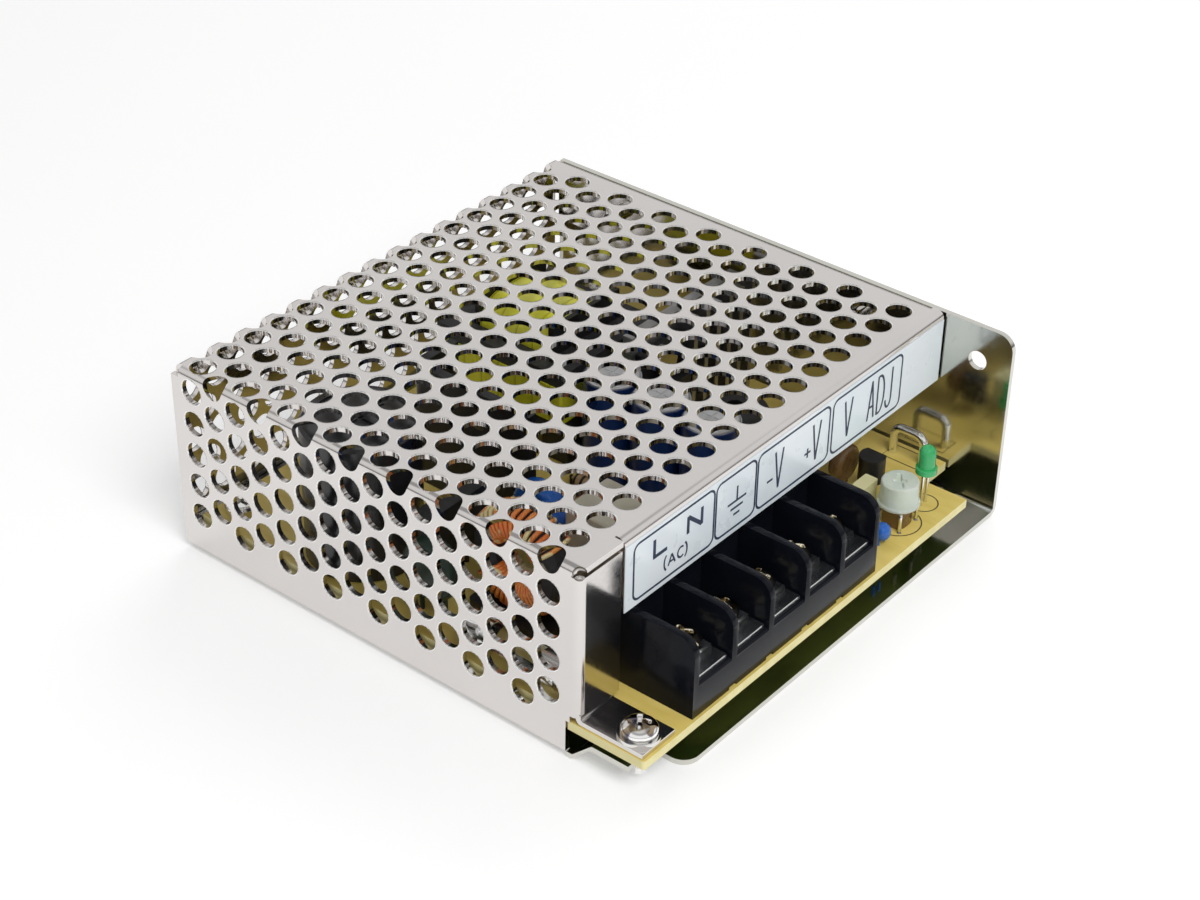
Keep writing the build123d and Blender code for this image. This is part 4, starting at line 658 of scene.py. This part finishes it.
def softened_copy(node, name, finish, width_mm):
    """A CAD piece of the supply with the small radius that moulding leaves on its edges: its mesh
    is copied and welded, flat areas are made whole, and each sharp edge gets a rounded strip."""
    flat_angle, sharp_angle = math.radians(0.8), math.radians(40)
    mesh = nodes[node].data.copy()
    work = bmesh.new()
    work.from_mesh(mesh)
    bmesh.ops.remove_doubles(work, verts=work.verts, dist=2e-6)
    bmesh.ops.dissolve_limit(work, angle_limit=flat_angle, verts=work.verts, edges=work.edges)
    work.to_mesh(mesh)
    work.free()
    mesh.name = name
    mesh.polygons.foreach_set("use_smooth", np.ones(len(mesh.polygons), bool))
    piece = bpy.data.objects.new(name, mesh)
    bpy.context.scene.collection.objects.link(piece)
    rounding = piece.modifiers.new("edge_rounding", "BEVEL")
    rounding.width, rounding.segments = width_mm * MM, 2
    rounding.limit_method, rounding.angle_limit = "ANGLE", sharp_angle
    rounding.harden_normals = True
    dress(piece, finish)
    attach(piece, "supply")
    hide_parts(node)


def driven(profile, centre, arms, depth, turn):
    """A turned piece with a cross pressed into its top: the (radius, height) profile is carried
    round, and a point within an arm of the cross, above the middle height, is lowered by depth.
    arms holds each arm's length and width, and turn is the cross's angle in degrees."""
    side_slope, end_slope = 0.07, 0.35
    points, faces = turned(profile, 96)
    c, s = math.cos(math.radians(turn)), math.sin(math.radians(turn))
    u, v = points[:, 0] * c + points[:, 1] * s, points[:, 1] * c - points[:, 0] * s
    pressed = np.zeros(len(points))
    for along, across, (length, width) in ((u, v, arms[0]), (v, u, arms[1])):
        inside = np.clip((width / 2 - np.abs(across)) / side_slope, 0, 1)
        inside *= np.clip((length / 2 - np.abs(along)) / end_slope, 0, 1)
        pressed = np.maximum(pressed, inside)
    heights = np.asarray(profile, float)[:, 1]
    high = points[:, 2] > (heights.min() + heights.max()) / 2
    points[:, 2] -= np.where(high, depth * pressed, 0)
    return points + np.asarray(centre, float), faces


def pan_screw(name, node, finish, body, shank, head, head_height, flat, arms, depth, turn):
    """A domed screw with a pressed cross, in the place and with the reach of the CAD one: shank,
    underside, upright edge for the flat share of the head, and a quarter-ellipse dome with rows
    close enough for the cross."""
    low, high = box_mm(node)
    foot, top = low[2], high[2]
    under = top - head_height
    edge = under + flat * (top - under)
    r = np.linspace(0.04, 1, 34)[::-1]
    dome_z = edge + (top - edge) * np.sqrt(np.clip(1 - (0.97 * r) ** 2, 0, 1))
    shaft = [(0, foot), (0.8 * shank, foot), (shank, foot + 0.3), (shank, under),
             (head - 0.08, under), (head, under + 0.08)]
    profile = np.concatenate([shaft, np.stack([head * r, dome_z], axis=1), [(0, dome_z[-1])]])
    x, y = (low[:2] + high[:2]) / 2
    points, faces = driven(profile, (x, y, 0), arms, depth, turn)
    add_piece(name, points, faces, finish, body, (node,))


def screws():
    """The five terminal screws, each with its cross at an angle of its own, and the tab's screw."""
    for i in range(1, 6):
        pan_screw(f"pan_screw_{i}", f"terminal_screw_{i}", "brass_screw",
                  f"screw_{i}", shank=1.75, head=3.05, head_height=2.4, flat=0.35,
                  arms=((4.2, 0.9), (3.6, 0.9)), depth=0.95, turn=20 + 31 * i)
    pan_screw("domed_tab_screw", "tab_screw", "tab_plating", "supply",
              shank=1.48, head=2.9, head_height=2.2, flat=0.2,
              arms=((3.5, 0.85), (3.5, 0.85)), depth=0.9, turn=38)


def trimmer():
    """The trimmer: a milky knob with a flange and a cross slot, a small rounded square body and
    three legs."""
    low, high = box_mm("trimmer_knob")
    x, y = (low[:2] + high[:2]) / 2
    foot, top = low[2], high[2]
    rounding, crown_r, dish_depth, skirt = 0.35, 2.85, 0.12, 4.5
    a = np.radians(np.linspace(0, 90, 7))
    crown = np.stack([crown_r + rounding * np.cos(a), top - rounding + rounding * np.sin(a)],
                     axis=1)
    dish = np.stack([np.linspace(2.55, 0.05, 26), np.full(26, top - dish_depth)], axis=1)
    profile = np.concatenate([
        [(0, foot), (1.2, foot), (1.3, foot + 0.1), (1.3, top - skirt), (3.5, top - skirt),
         (3.62, top - 4.38), (3.62, top - 3.95), (3.5, top - 3.82), (3.34, top - 3.78),
         (3.28, top - 3.6)],
        crown, dish, [(0, top - dish_depth)]])
    points, faces = driven(profile, (x, y, 0), ((4.2, 0.8), (2.4, 0.8)), 0.6, 40)
    add_piece("milky_knob", points, faces, "knob", "knob", ("trimmer_knob",))

    low, high = box_mm("trimmer_base")
    foot, sides = low[2], 48
    a = np.linspace(0, 2 * np.pi, sides, endpoint=False)
    square = squared(np.cos(a), np.sin(a), 4.5)
    # half width, height and how square each row is, up the outside and down the bore
    rows = np.array([
        (0, 0, 1), (2.1, 0, 1), (2.2, 0.1, 1), (2.2, 2.9, 1), (2.5, 3.05, 1), (2.75, 3.2, 1),
        (2.75, 3.72, 1), (2.65, 3.8, 1), (1.4, 3.8, 0), (1.4, 0.6, 0), (0, 0.6, 0)])
    half = rows[:, 0, None] * (1 + (square - 1) * 0.75 * rows[:, 2, None])
    heights = np.broadcast_to(foot + rows[:, 1, None], half.shape)
    points = np.stack([x + half * np.cos(a), y + half * np.sin(a), heights], axis=-1)
    add_piece("trimmer_body", points.reshape(-1, 3), grid_faces(len(rows), sides, round_cols=True),
              "trimmer", "supply", ("trimmer_base",))

    leg_r, leg_height = 0.3, 3.7
    legs = []
    for dx, dy in ((-2.5, -2.2), (2.5, -2.2), (0.0, 2.5)):
        z = np.linspace(foot, foot + leg_height, 5)
        path = np.stack([np.full(5, x + dx), np.full(5, y + dy), z], axis=1)
        legs.append(tube(path, leg_r, 10, (1, 0, 0)))
    points, faces = join(legs)
    add_piece("trimmer_legs", points, faces, "tin")


def jumper():
    """The thick bright wire link: up one leg, round a quarter circle, across, and down the other
    leg."""
    r, bend, inset, lift = 0.78, 1.7, 0.5, 0.7
    low, high = box_mm("wire_link")
    x = (low[0] + high[0]) / 2
    front, back, top = low[1] + inset, high[1] - inset, high[2] - r + lift
    a = np.radians(np.linspace(0, 90, 9))
    rise = np.stack([np.full(6, front), np.linspace(low[2], top - bend, 6)], axis=1)
    first = np.stack([front + bend - bend * np.cos(a), top - bend + bend * np.sin(a)], axis=1)
    over = np.stack([np.linspace(front + bend, back - bend, 5), np.full(5, top)], axis=1)[1:-1]
    second = np.stack([back - bend + bend * np.sin(a), top - bend + bend * np.cos(a)], axis=1)
    fall = rise[:-1][::-1] * [0, 1] + [back, 0]
    line = np.concatenate([rise[:-1], first, over, second, fall])
    path = np.stack([np.full(len(line), x), line[:, 0], line[:, 1]], axis=1)
    points, faces = tube(path, r, 18, (1, 0, 0))
    add_piece("thick_wire_link", points, faces, "tin", "supply", ("wire_link",))


softened_copy("terminal_housing", "terminal_block_moulding", "block", 0.2)
screws()
trimmer()
jumper()
cover_hole_rims()
label_print()
choke_wire()
board_print()


# Studio

def studio_floor():
    """A plain pale floor: nearly white for the camera, with the object's shadow kept."""
    glow_strength, half_side, count, drop = 0.22, 3000, 9, 0.02
    f = Finish("studio_floor", (0.92, 0.92, 0.92), Roughness=0.9)
    f.colour(f.shade(f.cloud(3.0), (0.90, 0.90, 0.90), (0.93, 0.93, 0.93)))
    glow = f.node("ShaderNodeEmission")
    glow.inputs["Color"].default_value = (1, 1, 1, 1)
    f.link(f.arithmetic("MULTIPLY", f.direct_rays(), glow_strength), glow.inputs["Strength"])
    total = f.node("ShaderNodeAddShader")
    f.link(f.shader.outputs[0], total.inputs[0])
    f.link(glow.outputs[0], total.inputs[1])
    f.link(total.outputs[0], f.tree.nodes["Material Output"].inputs["Surface"])
    size = np.linspace(-half_side, half_side, count)
    level = [np.full((count, count), -drop)]
    points = np.stack(np.meshgrid(size, size, indexing="ij") + level, axis=-1).reshape(-1, 3)
    floor = put_mesh("studio_floor", points, grid_faces(count, count)[:, ::-1], False)
    floor.data.materials.append(f.material)


def studio_world():
    """Soft even light, and a white background for the camera, gloss and glass. In gloss it falls
    off towards the horizon and between the wall and ceiling soft boxes, as a studio does."""
    low, bright, between = 0.06, 0.82, 0.36
    world = bpy.data.worlds.new("studio_world")
    world.use_nodes = True
    net = Nodes(world.node_tree)
    light = net.tree.nodes["Background"]
    light.inputs["Strength"].default_value = 0.38
    white = net.node("ShaderNodeBackground")
    for background in (light, white):
        background.inputs["Color"].default_value = (1, 1, 1, 1)
    fall = net.node("ShaderNodeValToRGB")
    stops = fall.color_ramp.elements
    for place, level in ((0.34, bright), (0.71, bright), (0.79, between), (0.90, between)):
        stops.new(place).color = (level, level, level, 1)
    stops[0].color = (low, low, low, 1)
    stops[-1].color = (bright, bright, bright, 1)
    direction = net.node("ShaderNodeTexCoord").outputs["Generated"]
    net.link(net.split(direction)[2], fall.inputs["Fac"])
    camera = net.node("ShaderNodeLightPath").outputs["Is Camera Ray"]
    seen = net.arithmetic("MAXIMUM", camera, fall.outputs["Color"])
    net.link(seen, white.inputs["Strength"])
    mix = net.node("ShaderNodeMixShader")
    net.link(net.direct_rays(), mix.inputs[0])
    net.link(light.outputs[0], mix.inputs[1])
    net.link(white.outputs[0], mix.inputs[2])
    net.link(mix.outputs[0], net.tree.nodes["World Output"].inputs["Surface"])
    bpy.context.scene.world = world


def studio_lamp(name, place, size, power):
    """A soft square lamp that faces the object's middle."""
    lamp = bpy.data.lights.new(name, "AREA")
    lamp.shape, lamp.size, lamp.energy = "SQUARE", size, power
    obj = bpy.data.objects.new(name, lamp)
    obj.location = place
    middle = (0.0, 0.0, 0.015)
    aim = np.array(place) - np.array(middle)
    flat = math.hypot(aim[0], aim[1])
    obj.rotation_euler = (math.atan2(flat, aim[2]), 0, math.atan2(aim[0], -aim[1]))
    obj.visible_glossy = False
    bpy.context.scene.collection.objects.link(obj)


def studio_camera():
    """The photograph's camera, as fitted to the case's corners and the cover's hole centres."""
    camera = bpy.data.cameras.new("photo_camera")
    camera.sensor_fit, camera.sensor_width, camera.lens = "HORIZONTAL", 36.0, 73.79
    camera.clip_start, camera.clip_end = 0.01, 20.0
    obj = bpy.data.objects.new("photo_camera", camera)
    obj.location = (-0.265866, -0.213311, 0.246508)
    obj.rotation_euler = tuple(math.radians(v) for v in (55.96026, -0.88916, -50.71185))
    bpy.context.scene.collection.objects.link(obj)
    bpy.context.scene.camera = obj


studio_floor()
studio_world()
studio_lamp("key_lamp", (-0.25, -0.55, 0.75), 0.5, 5.2)
studio_lamp("fill_lamp", (0.65, 0.25, 0.6), 0.6, 1.8)
studio_camera()
bpy.context.scene.view_settings.view_transform = "Standard"
